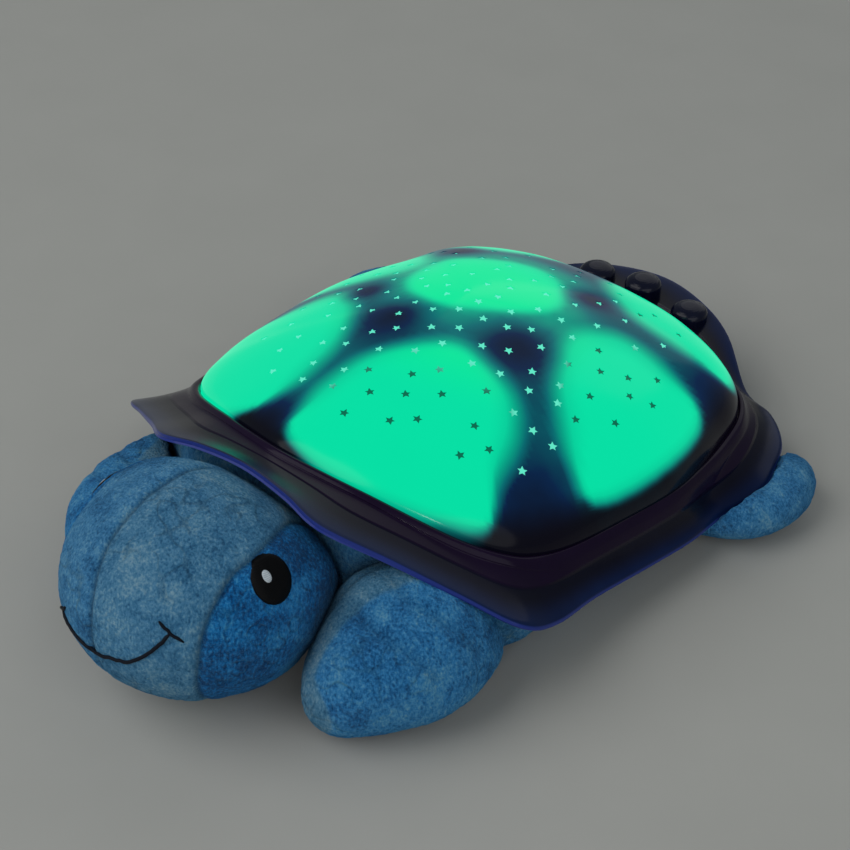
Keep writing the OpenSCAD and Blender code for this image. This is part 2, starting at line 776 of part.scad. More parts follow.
module button_frame() {
    color("#2b2f3a")
        difference() {
            union() {
                translate([0, 0, frame_top - frame_t])
                    linear_extrude(frame_t) button_outline();
                for (x = button_xs)
                    translate([x, button_y, guide_low])
                        cylinder(r = stem_r + guide_wall, h = frame_top - guide_low, $fn = 48);
                for (side = [-1, 1])
                    translate([side * hanger_x, leg_y, small_board_top])
                        cylinder(r = leg_r, h = frame_top - small_board_top, $fn = 32);
            }
            for (x = button_xs)
                translate([x, button_y, 0]) cylinder(r = stem_r + run_clear, h = 40, $fn = 64);
            for (side = [-1, 1]) {
                translate([side * hanger_x, hanger_y, 0])
                    cylinder(r = frame_screw_r + 0.2, h = 40, $fn = 24);
                translate([side * hanger_x, leg_y, small_board_top - 1])
                    cylinder(r = frame_screw_r + thread_gap, h = 6, $fn = 24);
            }
        }
}

module frame_screws() {
    color(metal)
        for (side = [-1, 1])
            translate([side * hanger_x, hanger_y, frame_top - frame_t])
                screw(frame_screw_r, 2, 1.3, frame_t + 3.4);
}

module button_board() {
    color(board_green)
        difference() {
            translate([0, 0, small_board_z]) linear_extrude(board_t) button_outline(-2);
            for (side = [-1, 1])
                translate([side * hanger_x, leg_y, 0])
                    cylinder(r = frame_screw_r + 0.2, h = 40, $fn = 24);
        }
}

module button_board_screws() {
    color(metal)
        for (side = [-1, 1])
            translate([side * hanger_x, leg_y, small_board_z])
                screw(frame_screw_r, 2, 1, board_t + 4);
}

module switch_bodies() {
    color("#1b1c20")
        for (x = button_xs)
            translate([x, button_y, small_board_top])
                difference() {
                    translate([-switch_w / 2, -switch_w / 2, 0]) cube([switch_w, switch_w, switch_h]);
                    translate([0, 0, switch_h - 2.6])
                        cylinder(r = plunger_r + run_clear, h = 4, $fn = 48);
                }
}

module plunger(x) {
    in = 2.6 - button_travel - 0.2;
    color("#c9c9c4")
        translate([x, button_y, small_board_top + switch_h - in])
            cylinder(r = plunger_r, h = plunger_out + in, $fn = 48);
}

// Cap: a domed top on a straight skirt, a flange that stops under the deck, and a guide stem
module button_cap(x, extra) {
    r = button_d / 2;
    top = button_top_z + extra;
    crown_h = 4;
    color(navy)
        translate([x, button_y, 0])
            rotate_extrude($fn = 64)
                polygon(concat(
                    [[0, stem_z], [stem_r - 0.4, stem_z], [stem_r, stem_z + 0.4],
                     [stem_r, flange_top - flange_t], [r + flange_out, flange_top - flange_t],
                     [r + flange_out, flange_top], [r, flange_top]],
                    [for (a = [0:10:80]) [r * pow(cos(a), 0.7), top - crown_h + crown_h * sin(a)]],
                    [[0, top]]
                ));
}

// ---------------------------------------------------------------- plush body and belly
belly_y = 18;            // centre of the belly flap
flap_z = 0.5;            // the flap lies a little above the floor
hook_t = 0.4;
loop_t = 0.4;
rebate_z = flap_z + flap_t + hook_t + loop_t + 0.2;
belly_open_w = door_w + 10;
belly_open_l = door_l + 16;
body_floor = tray_z - 0.6;
flap_n = 6;

function body_angle(i) = atan2(FOOT[i].y - belly_y, FOOT[i].x);
function belly_pt(i, p, q, n, z) = let (o = oval(body_angle(i), p, q, n)) [o.x, belly_y + o.y, z];
function tub_pt(i, z) =
    let (a = atan2(FOOT[i].y - tub_y, FOOT[i].x),
         o = oval(a, tub_w / 2 + soft_gap, tub_l / 2 + soft_gap, tub_n))
    [o.x, tub_y + o.y, z];

// How far the body stays inside the lip: little at the neck and tail, more at the sides
side_inset = 13;
end_inset = 1.2;
front_inset = 11;
function inset(i) =
    let (a = abs(sin(atan2(FOOT[i].y - crown.y, FOOT[i].x))), back = FOOT[i].y > crown.y)
    side_inset + ((back ? end_inset : front_inset) - side_inset) * pow(a, 4);
function bulge_z(i, share) =
    max(2, share * (along(i, run(i) - inset(i)).z - brim_wall * stretch(i)));

// Height of the body's top under the ledge
function under_ledge(i) = foot_z(i) - ledge_drop - brim_wall - soft_gap;
// The body's front ends in a flat face at the neck
function at_neck(p) = [p.x, max(p.y, 0.4 - neck_y), p.z];
// Outer side of the body, from its top down to the floor, a gap g larger
function body_side(i, g) =
    let (r = run(i) - inset(i),
         top = min(along(i, r).z - brim_wall * stretch(i) - dish - soft_gap - 0.6,
                   under_ledge(i) - 0.4))
    [
        at_neck(inside(i, min(0, r - 3), under_ledge(i) - 0.4 + 3 * g)),
        at_neck(inside(i, r + g, top + 3 * g)),
        at_neck(inside(i, r + 1.5 + g, bulge_z(i, 0.62))),
        at_neck(inside(i, r + 0.5 + g, bulge_z(i, 0.34))),
        at_neck(inside(i, r - 4 + g, bulge_z(i, 0.1))),
        at_neck(inside(i, r - 10 + g, 0))
    ];

// Body: clockwise from inside the skirt, out under the brim, down to the floor and back up the tub
function body_section(i) =
    let (s0 = brim_wall - ledge_w + soft_gap)
    [
        inside(i, s0, under_ledge(i)),
        for (p = body_side(i, 0)) p,
        belly_pt(i, flap_w / 2 + 0.5, flap_l / 2 + 0.5, flap_n, 0),
        belly_pt(i, flap_w / 2 + 0.5, flap_l / 2 + 0.5, flap_n, rebate_z),
        belly_pt(i, belly_open_w / 2, belly_open_l / 2, flap_n, rebate_z),
        belly_pt(i, belly_open_w / 2, belly_open_l / 2, flap_n, body_floor),
        tub_pt(i, body_floor),
        tub_pt(i, flange_z - tray_wall - soft_gap),
        inside(i, s0, flange_z - tray_wall - soft_gap)
    ];

// Solid that the limbs are cut by, a gap g larger than the body
module body_fill(g) {
    S = [for (i = [0:N - 1]) body_side(i, g)];
    pole_loft([0, crown.y, -2], [for (k = [len(S[0]) - 1:-1:0]) [for (i = [0:N - 1])
        S[i][k] - [0, 0, k == len(S[0]) - 1 ? 1 : 0]]], crown);
}

// Solid that the shell fills, a gap g larger all round
module shell_fill(g) {
    pole_loft([0, crown.y, flange_z], [
        [for (i = [0:N - 1]) inside(i, 0, under_ledge(i) + soft_gap - g)],
        [for (i = [0:N - 1]) below(i, bead_w, -groove - g * stretch(i))],
        [for (i = [0:N - 1]) below(i, brim_mid(i), -dish - g * stretch(i))],
        [for (i = [0:N - 1]) below(i, run(i), -g * stretch(i))],
        [for (i = [0:N - 1]) inside(i, run(i) + g, LIP[i].z - brim_wall * 0.4 - g)],
        [for (i = [0:N - 1]) inside(i, run(i) + g, dome_top_z)]
    ], crown + [0, 0, 1]);
}

module plush_body() {
    color(plush_blue)
        difference() {
            torus_loft([for (i = [0:N - 1]) body_section(i)]);
            // room for the button unit, its ribbon and the shell screws' heads
            translate([0, 0, small_board_z - 2]) linear_extrude(30) button_outline(0.8);
            for (x = button_xs)
                translate([x, button_y, flange_top - flange_t - button_travel - 0.8])
                    cylinder(r = button_d / 2 + flange_out + 0.3, h = 20, $fn = 32);
            for (x = button_xs)
                translate([x, button_y, guide_low - 0.6])
                    cylinder(r = stem_r + guide_wall + 0.6, h = 10, $fn = 32);
            translate([-ribbon_w / 2 - 1, dome_rear - ledge_w, 15.8])
                cube([ribbon_w + 2, 22, 12.7]);
            at_posts()
                translate([0, 0, flange_z - tray_wall - 3]) cylinder(r = 3.8, h = 4, $fn = 20);
        }
}

module flap_outline(grow) {
    translate([0, belly_y])
        polygon(oval_ring(flap_w / 2 + grow, flap_l / 2 + grow, flap_n, 48));
}

module belly_flap() {
    color("#3a6a9c")
        translate([0, 0, flap_z]) linear_extrude(flap_t) flap_outline(0);
}

// The two strips of touch tape lie face to face along the flap's rear edge
tape_l = 8;
module tape(z, t) {
    translate([-flap_w * 0.36, belly_y + flap_l / 2 - tape_l - 0.8, z])
        cube([flap_w * 0.72, min(tape_l, (flap_l - belly_open_l) / 2 - 1), t]);
}

module hook_strip() {
    color("#e9e9e4") tape(flap_z + flap_t, hook_t);
}

module loop_strip() {
    color("#dfe3ea") tape(rebate_z - loop_t, loop_t);
}

// ---------------------------------------------------------------- plush head and limbs
// Smooth curve through the rows of S, k pieces to each span
function eased(S, k) =
    [for (i = [0:len(S) - 2], j = [0:k - 1])
        spline(S[max(i - 1, 0)], S[i], S[i + 1], S[min(i + 2, len(S) - 1)], j / k)];

// Limb through rows [x, y, z, half width, half height]; the last row is its tip
function limb_rings(S, k, sides, g) =
    let (R = concat(eased(S, k), [S[len(S) - 1]]), n = len(R))
    [for (i = [0:n - 1])
        let (a = R[max(i - 1, 0)], b = R[min(i + 1, n - 1)], d = unit([b.x - a.x, b.y - a.y]),
             w = R[i][3] + g, h = R[i][4] + g)
        [for (f = [0:sides - 1]) let (c = cos(360 * f / sides), s = sin(360 * f / sides),
             z = R[i].z + h * sign(s) * pow(abs(s), 0.9))
            [R[i].x - d.y * w * c, R[i].y + d.x * w * c, max(-g, z)]]];

module limb(S, k = 2, sides = 18, g = 0) {
    rings = limb_rings(S, k, sides, g);
    n = len(S);
    first = [S[0].x, S[0].y, max(0, S[0].z)];
    last = [S[n - 1].x, S[n - 1].y, S[n - 1].z];
    pole_loft(first, rings, last);
}

sink = 0.5;              // how deep a soft form is cut flat by the floor
neck_y = brim_front - front_inset - 0.8;
neck_drop = 1;           // how much the head's top falls away towards the neck

// Head: an egg along Y whose top falls away under the brim and whose back is flat at the neck
module head_form(g = 0) {
    rz = (head_h + sink) / 2;
    zc = head_mid;
    back = asin(min(0.95, (head_y - neck_y) / head_ry));
    A = [for (j = [0:13]) back - (back + 86) * pow(j / 13, 0.85)];
    rings = [for (a = A)
        let (y = -head_y + (head_ry + g) * sin(a), w = (head_rx + g) * cos(a), h = (rz + g) * cos(a),
             t = max(0, sin(a)))
        [for (f = [0:15:345]) let (c = cos(f), s = sin(f),
             up = s > 0 ? s * (1 - neck_drop * t * t) : s)
            [w * c, y, max(-g, zc + h * up)]]];
    pole_loft([0, rings[0][0].y, zc], rings, [0, -head_y - head_ry - g, zc]);
}

head_mid = (head_h - sink) / 2;
eye_yaw = 85;            // from the nose round to an eye
eye_pitch = 28;          // from the middle of the head up to an eye
eye_slim = 0.88;         // an eye's width as a share of its height
module eye_disc(side) {
    translate([0, -head_y, head_mid])
        rotate([-eye_pitch, 0, side * eye_yaw])
            rotate([90, 0, 0])
                linear_extrude(head_rx + 10)
                    polygon([for (a = [0:20:340]) [eye_slim * eye_r * cos(a), eye_r * sin(a)]]);
}

module plush_head() {
    color(plush_blue) head_form();
}

// Stitched eyes stand a little proud of the face
module eyes() {
    color("#0b0d12")
        difference() {
            intersection() {
                head_form(0.9);
                union() {
                    eye_disc(1);
                    eye_disc(-1);
                }
            }
            head_form(0.05);
        }
}

front_t = (front_flipper_t + sink) / 2;
FRONT_FLIPPER = [
    [66, -52,  17,           18, 15],
    [69, -70,  front_t - 1,  23, front_t - 2.5],
    [69, -90,  front_t - sink, 24.5, front_t],
    [66, -110, front_t - sink, 23, front_t],
    [61, -126, front_t - 2,  17, front_t - 3],
    [58, -134, front_t - 3,  9,  front_t * 0.5],
    [57, -137, front_t - 3,  2,  3]
];
rear_t = (rear_flipper_t + sink) / 2;
REAR_FLIPPER = [
    [78,  52,  rear_t - 1,  13, 8],
    [88,  57,  rear_t - sink, 19, rear_t - 0.6],
    [99,  66,  rear_t - sink, 23, rear_t],
    [105, 79,  rear_t - sink, 21, rear_t],
    [105, 92,  rear_t - 1,  16, rear_t - 1.5],
    [101, 102, rear_t - 2,  9,  rear_t * 0.55],
    [99,  106, rear_t - 2,  2,  2]
];
TAIL = [
    [0, 140, 8,  11, 7],
    [0, 152, 8,  10, 7.5],
    [0, 161, 7,  7,  5.5],
    [0, 168, 6,  3.5, 3],
    [0, 170, 6,  1,  1]
];

module front_flipper(side) {
    color(plush_blue)
        mirror([side < 0 ? 1 : 0, 0, 0])
            difference() {
                limb(FRONT_FLIPPER, 2, 18);
                head_form(soft_gap);
                body_fill(soft_gap);
                shell_fill(soft_gap + 0.4);
            }
}

module rear_flipper(side) {
    color(plush_blue)
        mirror([side < 0 ? 1 : 0, 0, 0])
            difference() {
                limb(REAR_FLIPPER, 2, 18);
                body_fill(soft_gap);
                shell_fill(soft_gap + 0.4);
            }
}

module plush_tail() {
    color(plush_blue)
        difference() {
            limb(TAIL, 2, 14);
            body_fill(soft_gap);
            shell_fill(soft_gap + 0.4);
        }
}

dome_shell();
shell_brim();
base_tray();
shell_screws();
battery_door();
door_screw();
for (k = [0:2])
    battery(k);
battery_springs();
battery_contacts();
main_board();
board_screws();
timer_chip();
capacitor();
resistors();
led_holder();
led(0, "#7fb4ff");  // led_blue
led(1, "#7dffc0");  // led_green
led(2, "#ffc46b");  // led_amber
button_frame();
frame_screws();
button_board();
button_board_screws();
switch_bodies();
button_cap(button_pitch, 0);  // button_left
button_cap(0, centre_extra);  // button_centre
button_cap(-button_pitch, 0);  // button_right
plunger(button_pitch);  // plunger_left
plunger(0);  // plunger_centre
plunger(-button_pitch);  // plunger_right
button_ribbon();
lead(1, "#b3262b");  // lead_red
lead(-1, "#1a1a1c");  // lead_black
plush_body();
belly_flap();
hook_strip();
loop_strip();
plush_head();
eyes();
front_flipper(1);  // front_flipper_left
front_flipper(-1);  // front_flipper_right
rear_flipper(1);  // rear_flipper_left
rear_flipper(-1);  // rear_flipper_right
plush_tail();
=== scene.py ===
import math
from collections import namedtuple

import bmesh
import bpy
import numpy as np
from mathutils import Matrix, Vector, noise
from mathutils.bvhtree import BVHTree


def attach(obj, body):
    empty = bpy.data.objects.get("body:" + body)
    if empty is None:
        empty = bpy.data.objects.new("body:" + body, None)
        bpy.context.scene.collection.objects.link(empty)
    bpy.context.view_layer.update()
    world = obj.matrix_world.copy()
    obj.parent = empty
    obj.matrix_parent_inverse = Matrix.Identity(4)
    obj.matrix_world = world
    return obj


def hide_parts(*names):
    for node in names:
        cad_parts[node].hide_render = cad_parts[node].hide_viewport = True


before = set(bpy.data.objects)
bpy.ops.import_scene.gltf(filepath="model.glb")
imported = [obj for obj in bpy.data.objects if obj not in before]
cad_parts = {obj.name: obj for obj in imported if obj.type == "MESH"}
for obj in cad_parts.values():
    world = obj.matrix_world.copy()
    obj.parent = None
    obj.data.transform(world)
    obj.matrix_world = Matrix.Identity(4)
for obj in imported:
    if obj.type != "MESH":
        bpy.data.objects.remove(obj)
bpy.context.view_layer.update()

MM = 0.001
SCENE = bpy.context.scene


# ------ shader writing
def shade(code):
    """Linear colour of a #rrggbb code."""
    parts = [int(code[i:i + 2], 16) / 255 for i in (1, 3, 5)]
    return [p / 12.92 if p <= 0.04045 else ((p + 0.055) / 1.055) ** 2.4 for p in parts] + [1.0]


class Wire:
    """A value that runs through a finish; its sums and products add Math nodes."""

    def __init__(self, finish, socket):
        self.finish = finish
        self.socket = socket

    def math(self, operation, *values):
        return self.finish.node("Math", {"operation": operation}, dict(enumerate(values)))

    def __add__(self, other):
        return self.math("ADD", self, other)

    def __radd__(self, other):
        return self.math("ADD", other, self)

    def __sub__(self, other):
        return self.math("SUBTRACT", self, other)

    def __rsub__(self, other):
        return self.math("SUBTRACT", other, self)

    def __mul__(self, other):
        return self.math("MULTIPLY", self, other)

    def __rmul__(self, other):
        return self.math("MULTIPLY", other, self)

    def __abs__(self):
        return self.math("ABSOLUTE", self)

    def least(self, other):
        return self.math("MINIMUM", self, other)

    def most(self, other):
        return self.math("MAXIMUM", self, other)

    def wave(self):
        return self.math("SINE", self)

    def over(self, low, high):
        """0 below low and 1 above high, with a smooth step between them."""
        settings = {"interpolation_type": "SMOOTHSTEP"}
        return self.finish.node("MapRange", settings, {0: self, 1: low, 2: high, 3: 0.0, 4: 1.0})


class Finish:
    """A material with one Principled shader."""

    def __init__(self, name, **constants):
        self.material = bpy.data.materials.new(name)
        self.material.use_nodes = True
        self.tree = self.material.node_tree
        self.tree.nodes.clear()
        output = self.tree.nodes.new("ShaderNodeOutputMaterial")
        self.shader = self.tree.nodes.new("ShaderNodeBsdfPrincipled")
        self.tree.links.new(self.shader.outputs[0], output.inputs["Surface"])
        self.place = self.node("TexCoord", out="Object")
        for name_, value in constants.items():
            self.set(name_.replace("_", " ").title().replace("Ior", "IOR"), value)

    def node(self, kind, settings=None, inputs=None, out=0):
        made = self.tree.nodes.new("ShaderNode" + kind)
        for key, value in (settings or {}).items():
            setattr(made, key, value)
        for key, value in (inputs or {}).items():
            self.feed(made.inputs[key], value)
        return Wire(self, made.outputs[out])

    def feed(self, socket, value):
        if isinstance(value, Wire):
            self.tree.links.new(value.socket, socket)
        else:
            socket.default_value = value

    def set(self, socket, value):
        value = shade(value) if isinstance(value, str) else value
        self.feed(self.shader.inputs[socket], value)

    def ramp(self, value, *stops):
        """Colour that runs through stops, each a position and a #rrggbb code."""
        colour = self.node("ValToRGB", {}, {0: value})
        elements = colour.socket.node.color_ramp.elements
        while len(elements) < len(stops):
            elements.new(0.5)
        for element, (position, code) in zip(elements, stops):
            element.position = position
            element.color = shade(code)
        return colour

    def mix(self, share, low, high):
        """Colour between low and high; each is a #rrggbb code or a wire."""
        low, high = (shade(c) if isinstance(c, str) else c for c in (low, high))
        return self.node("Mix", {"data_type": "RGBA"}, {0: share, 6: low, 7: high}, out=2)

    def base(self, share, low, high):
        """Base colour between low and high."""
        self.set("Base Color", self.mix(share, low, high))

    def axis(self, which):
        return self.node("SeparateXYZ", {}, {0: self.place}, out="XYZ".index(which))

    def grain(self, size, detail=3.0, rough=0.55, stretch=(1, 1, 1)):
        """Noise whose lumps are about size millimetres across."""
        place = self.node("Mapping", {}, {0: self.place, 3: stretch})
        scale = 1 / (size * MM)
        inputs = {"Vector": place, "Scale": scale, "Detail": detail, "Roughness": rough}
        return self.node("TexNoise", {}, inputs)

    def cells(self, size, feature="F1"):
        """Cells about size millimetres across."""
        inputs = {"Vector": self.place, "Scale": 1 / (size * MM)}
        return self.node("TexVoronoi", {"feature": feature}, inputs)

    def mark(self, name):
        """A value that was written on the mesh's points."""
        return self.node("Attribute", {"attribute_name": name}, out="Fac")

    def relief(self, height, depth, strength=1.0):
        """Bump of that depth in millimetres."""
        inputs = {"Strength": strength, "Distance": depth * MM, "Height": height}
        self.set("Normal", self.node("Bump", {}, inputs))


# ------ the shell's stations
BRIM_HALF_W = 105 * MM
BRIM_FRONT = 107 * MM
BRIM_REAR = 154 * MM
DOME_HALF_W = 94.5 * MM
DOME_FRONT = 83 * MM
DOME_REAR = 122 * MM
CROWN = np.array([0, 20, 88]) * MM
DOME_WALL = 2.2 * MM
BRIM_WALL = 2.2 * MM
LEDGE_W = 13 * MM
LEDGE_DROP = 2 * MM
SKIRT_FOOT = 20 * MM
DOME_SEAT = 0.12 * MM
BEAD_W = 6 * MM
BEAD_H = 1.8 * MM
GROOVE = 0.6 * MM
DISH = 0.9 * MM
LIP_ROUND = 0.7 * MM
SECTION_STEPS = 4

# Each station of the left half, from the neck to the tail: the lip and the dome's foot, as
# shares of the reaches across and along, and a height in millimetres
STATIONS = [
    ((0, -0.972, 77.5), (0, -1, 70)),
    ((0.206, -0.986, 76.2), (0.208, -0.962, 67.5)),
    ((0.382, -1, 72.5), (0.384, -0.908, 64)),
    ((0.581, -0.882, 61), (0.556, -0.835, 58.6)),
    ((0.79, -0.768, 49.5), (0.709, -0.753, 53)),
    ((0.968, -0.662, 39), (0.825, -0.65, 48)),
    ((0.99, -0.5, 30.5), (0.894, -0.524, 44)),
    ((0.968, -0.25, 24.6), (0.947, -0.325, 41.6)),
    ((0.985, 0.03, 20.6), (0.985, 0.02, 39.2)),
    ((0.996, 0.19, 17.8), (1, 0.235, 36.6)),
    ((0.99, 0.325, 16.4), (0.972, 0.41, 34)),
    ((1.025, 0.468, 18.2), (0.92, 0.585, 31.4)),
    ((0.98, 0.58, 18.2), (0.868, 0.735, 31)),
    ((0.91, 0.685, 17.6), (0.778, 0.845, 30.2)),
    ((0.785, 0.762, 18.4), (0.655, 0.915, 30.4)),
    ((0.645, 0.78, 22), (0.53, 0.955, 31.4)),
    ((0.425, 0.903, 30.2), (0.38, 0.982, 33)),
    ((0.228, 0.968, 33.6), (0.2, 0.995, 34)),
    ((0, 1, 34.6), (0, 1, 34.4)),
]
RING_STEPS = 6
UP = np.array([0, 0, 1.0])


def placed(share, half_width, front, rear):
    """A station's point in metres; front and rear are the reaches along -Y and +Y."""
    x, y, z = share
    return (x * half_width, y * (front if y < 0 else rear), z * MM)


def spline(p0, p1, p2, p3, t):
    """Point at share t of the span from p1 to p2."""
    return 0.5 * (2 * p1 + (p2 - p0) * t + (2 * p0 - 5 * p1 + 4 * p2 - p3) * t * t
                  + (3 * p1 - p0 - 3 * p2 + p3) * t ** 3)


def closed_curve(points, steps):
    """Closed smooth curve through points, steps of them to a span."""
    n = len(points)
    near = lambda i: [points[(i + k) % n] for k in (-1, 0, 1, 2)]
    return np.array([spline(*near(i), j / steps) for i in range(n) for j in range(steps)])


def through(points, steps):
    """Open smooth curve through points, steps of them to a span."""
    last = len(points) - 1
    near = lambda i: [points[min(max(i + k, 0), last)] for k in (-1, 0, 1, 2)]
    return [spline(*near(i), j / steps) for i in range(last) for j in range(steps)] + [points[last]]


def ring(half):
    """Closed smooth curve through the half's points and their mirror images."""
    points = [np.array(p) for p in half]
    points += [p * (-1, 1, 1) for p in points[-2:0:-1]]
    return closed_curve(points, RING_STEPS)


LIP = ring([placed(s[0], BRIM_HALF_W, BRIM_FRONT, BRIM_REAR) for s in STATIONS])
FOOT = ring([placed(s[1], DOME_HALF_W, DOME_FRONT, DOME_REAR) for s in STATIONS])
AROUND = len(LIP)
OUTWARD = (LIP - FOOT) * (1, 1, 0)
RUN = np.linalg.norm(OUTWARD, axis=1)
OUTWARD = OUTWARD / RUN[:, None]
SLOPE = (FOOT[:, 2] - LIP[:, 2]) / RUN
STRETCH = np.sqrt(1 + SLOPE ** 2)


def along(s, raised=0.0):
    """Points at distance s from the foot on the line to the lip, raised a little."""
    s = np.broadcast_to(s, AROUND)
    raised = np.broadcast_to(raised, AROUND)
    return FOOT + (LIP - FOOT) * (s / RUN)[:, None] + UP * raised[:, None]


def below(s, raised):
    """Points one wall under those of along()."""
    return along(s - SLOPE / STRETCH * BRIM_WALL, raised - BRIM_WALL * STRETCH)


def inside(s, z):
    """Points at distance s outwards from the foot, level with z."""
    flat = FOOT * (1, 1, 0) + OUTWARD * s
    return flat + UP * np.broadcast_to(z, AROUND)[:, None]


def nearest_on(line, points):
    """Each point's distance from a line, the nearest place on it and its direction there."""
    best = np.full(len(points), np.inf)
    place = np.zeros_like(points)
    heading = np.zeros_like(points)
    for a, b in zip(line[:-1], line[1:]):
        span = b - a
        t = np.clip((points - a) @ span / (span @ span), 0, 1)
        spot = a + t[:, None] * span
        gap = np.linalg.norm(points - spot, axis=1)
        closer = gap < best
        best[closer] = gap[closer]
        place[closer] = spot[closer]
        heading[closer] = span / np.linalg.norm(span)
    return best, place, heading


# ------ mesh writing
def piece(name, points, faces, finish, body="projector", smooth=True, ridden=True):
    """New object in its finish, which rides on a body unless it is only a helper or the stage."""
    mesh = bpy.data.meshes.new(name)
    mesh.from_pydata([tuple(p) for p in points], [], faces)
    mesh.validate()
    mesh.update()
    made = bpy.data.objects.new(name, mesh)
    SCENE.collection.objects.link(made)
    mesh.polygons.foreach_set("use_smooth", [smooth] * len(mesh.polygons))
    mesh.materials.append(finish.material)
    if ridden:
        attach(made, body)
    return made


def points_of(mesh, what="co"):
    """The place of each point, or with "normal" its normal."""
    found = np.empty(len(mesh.vertices) * 3, np.float32)
    mesh.vertices.foreach_get(what, found)
    return found.reshape(-1, 3).astype(float)


def move_points(mesh, points):
    mesh.vertices.foreach_set("co", np.asarray(points, np.float32).ravel())
    mesh.update()


def write_mark(mesh, name, values):
    """Writes a value on each point, for the finish to read."""
    attribute = mesh.attributes.new(name, "FLOAT", "POINT")
    attribute.data.foreach_set("value", np.asarray(values, np.float32))


def applied(thing):
    """Puts what the thing's modifiers make into its own mesh."""
    graph = bpy.context.evaluated_depsgraph_get()
    mesh = bpy.data.meshes.new_from_object(thing.evaluated_get(graph))
    thing.modifiers.clear()
    thing.data = mesh
    return thing


def tree_of(mesh):
    """Search tree over a mesh's faces."""
    return BVHTree.FromPolygons([v.co for v in mesh.vertices],
                                [p.vertices[:] for p in mesh.polygons])


def torus_faces(rings, sides):
    """Faces of a closed run of closed rings."""
    return [(i * sides + k, (i + 1) % rings * sides + k,
             (i + 1) % rings * sides + (k + 1) % sides, i * sides + (k + 1) % sides)
            for i in range(rings) for k in range(sides)]


def pole_faces(rings, sides):
    """Faces of a stack of rings whose first and last point, 0 and the end, close it."""
    at = lambda i, k: 1 + i * sides + k % sides
    last = 1 + rings * sides
    faces = [(0, at(0, k), at(0, k + 1)) for k in range(sides)]
    faces += [(at(i, k), at(i + 1, k), at(i + 1, k + 1), at(i, k + 1))
              for i in range(rings - 1) for k in range(sides)]
    return faces + [(last, at(rings - 1, k + 1), at(rings - 1, k)) for k in range(sides)]


def smoothstep(values, low, high):
    """0 below low and 1 above high, with a smooth step between them."""
    t = np.clip((values - low) / (high - low), 0, 1)
    return t * t * (3 - 2 * t)


# ------ finishes of the shell
def glow_finish():
    """Painted glow of a translucent dome lit from within: six lit scutes round a middle one, dark
    between them.
    """
    f = Finish("lit_dome", roughness=0.16, specular_ior_level=0.13)
    haze = f.grain(16, 2.0) - 0.5
    light = f.mark("glow") + haze * 0.07
    share = f.mark("share")
    foot_shade = share.over(0.88, 0.985)
    top = 1 - share.over(0.25, 0.60)
    lit = f.ramp(light, (0.0, "#05142b"), (0.08, "#042247"), (0.26, "#026a70"), (0.46, "#01a286"),
                 (0.72, "#01d6a0"), (1.0, "#01e6a9"))
    # painted light: the crown glows a brighter green
    lit = f.mix(top * light.over(0.4, 0.9), lit, "#03ee9f")
    # painted shade: near the foot the glow fades to almost black where it is weak
    f.set("Emission Color", f.mix(foot_shade * (1 - light.over(0.1, 0.5)), lit, "#05030a"))
    f.set("Emission Strength", 0.93)
    f.set("Base Color", f.ramp(light, (0.0, "#05060f"), (0.5, "#021816"), (1.0, "#01150f")))
    f.relief(f.grain(0.5), 0.004, 0.3)
    return f


def brim_finish():
    """Glossy plastic that looks near black: purple to a moulded step, then navy to the lip, whose
    edge has a painted highlight.
    """
    f = Finish("glossy_navy", specular_ior_level=0.12)
    out = f.mark("reach")
    cloud = f.grain(22, 2.0)
    step = out.over(0.40, 0.47)
    near = f.mix(step, f.mix(cloud, "#140a20", "#1e112c"), f.mix(cloud, "#0a0b18", "#121326"))
    far = f.mix(cloud, "#0b1738", "#122652")
    colour = f.mix(out.over(0.55, 1.0), near, far)
    # painted highlight: a thin blue line along the lip's edge
    f.base(out.over(0.972, 1.0), colour, "#2a3a86")
    f.set("Roughness", f.grain(3) * 0.10 + 0.12)
    f.relief(step * 0.6 + f.grain(0.6) * 0.001, 1)
    return f


def window_finish():
    """Clear star windows with a painted glow: bright where the wall is dark, deep green where it is
    lit.
    """
    f = Finish("star_window", roughness=0.3, specular_ior_level=0.2)
    # painted shade: stars low on the lit wall towards +X glow a darker green
    painted_shade = f.mark("glow").over(0.45, 0.85) * f.axis("X").over(-30 * MM, 5 * MM)
    colour = f.mix(painted_shade * f.mark("share").over(0.32, 0.5), "#62ecca", "#02684c")
    f.base(f.grain(1), "#03201a", "#06281f")
    f.set("Emission Color", colour)
    f.set("Emission Strength", 0.95)
    return f


# ------ lit scutes
# Outline of each lit scute from above, in millimetres, where its light has fallen to half.
# The side that the camera doesn't see is about a mirror image of the other.
SCUTES = {
    "middle": [(-42, 46), (-28, 60), (-8, 71), (12, 65), (24, 46), (17, 25), (-2, 9), (-20, 9),
               (-37, 22)],
    "front_left": [(-9, -74), (-10, -48), (-6, -28), (12, -6), (28, -3), (45, -9), (57, -22),
                   (67, -41), (73, -55), (58, -66), (33, -77), (8, -81)],
    "front_right": [(-24, -69), (-22, -46), (-28, -22), (-42, -3), (-58, 7), (-72, -4),
                    (-86, -26), (-84, -50), (-66, -68), (-40, -75)],
    "side_left": [(57, 4), (44, 18), (37, 38), (46, 56), (66, 63), (81, 64), (88, 48), (91, 20),
                  (87, -12), (76, -11)],
    "side_right": [(-68, 16), (-54, 26), (-48, 42), (-56, 58), (-70, 64), (-84, 62), (-90, 44),
                   (-92, 22), (-84, 8)],
    "rear_left": [(8, 103), (20, 85), (38, 75), (60, 80), (76, 90), (71, 102), (50, 113),
                  (26, 117)],
    "rear_right": [(-18, 103), (-30, 85), (-46, 76), (-64, 80), (-78, 90), (-73, 102), (-52, 113),
                   (-28, 117)],
}
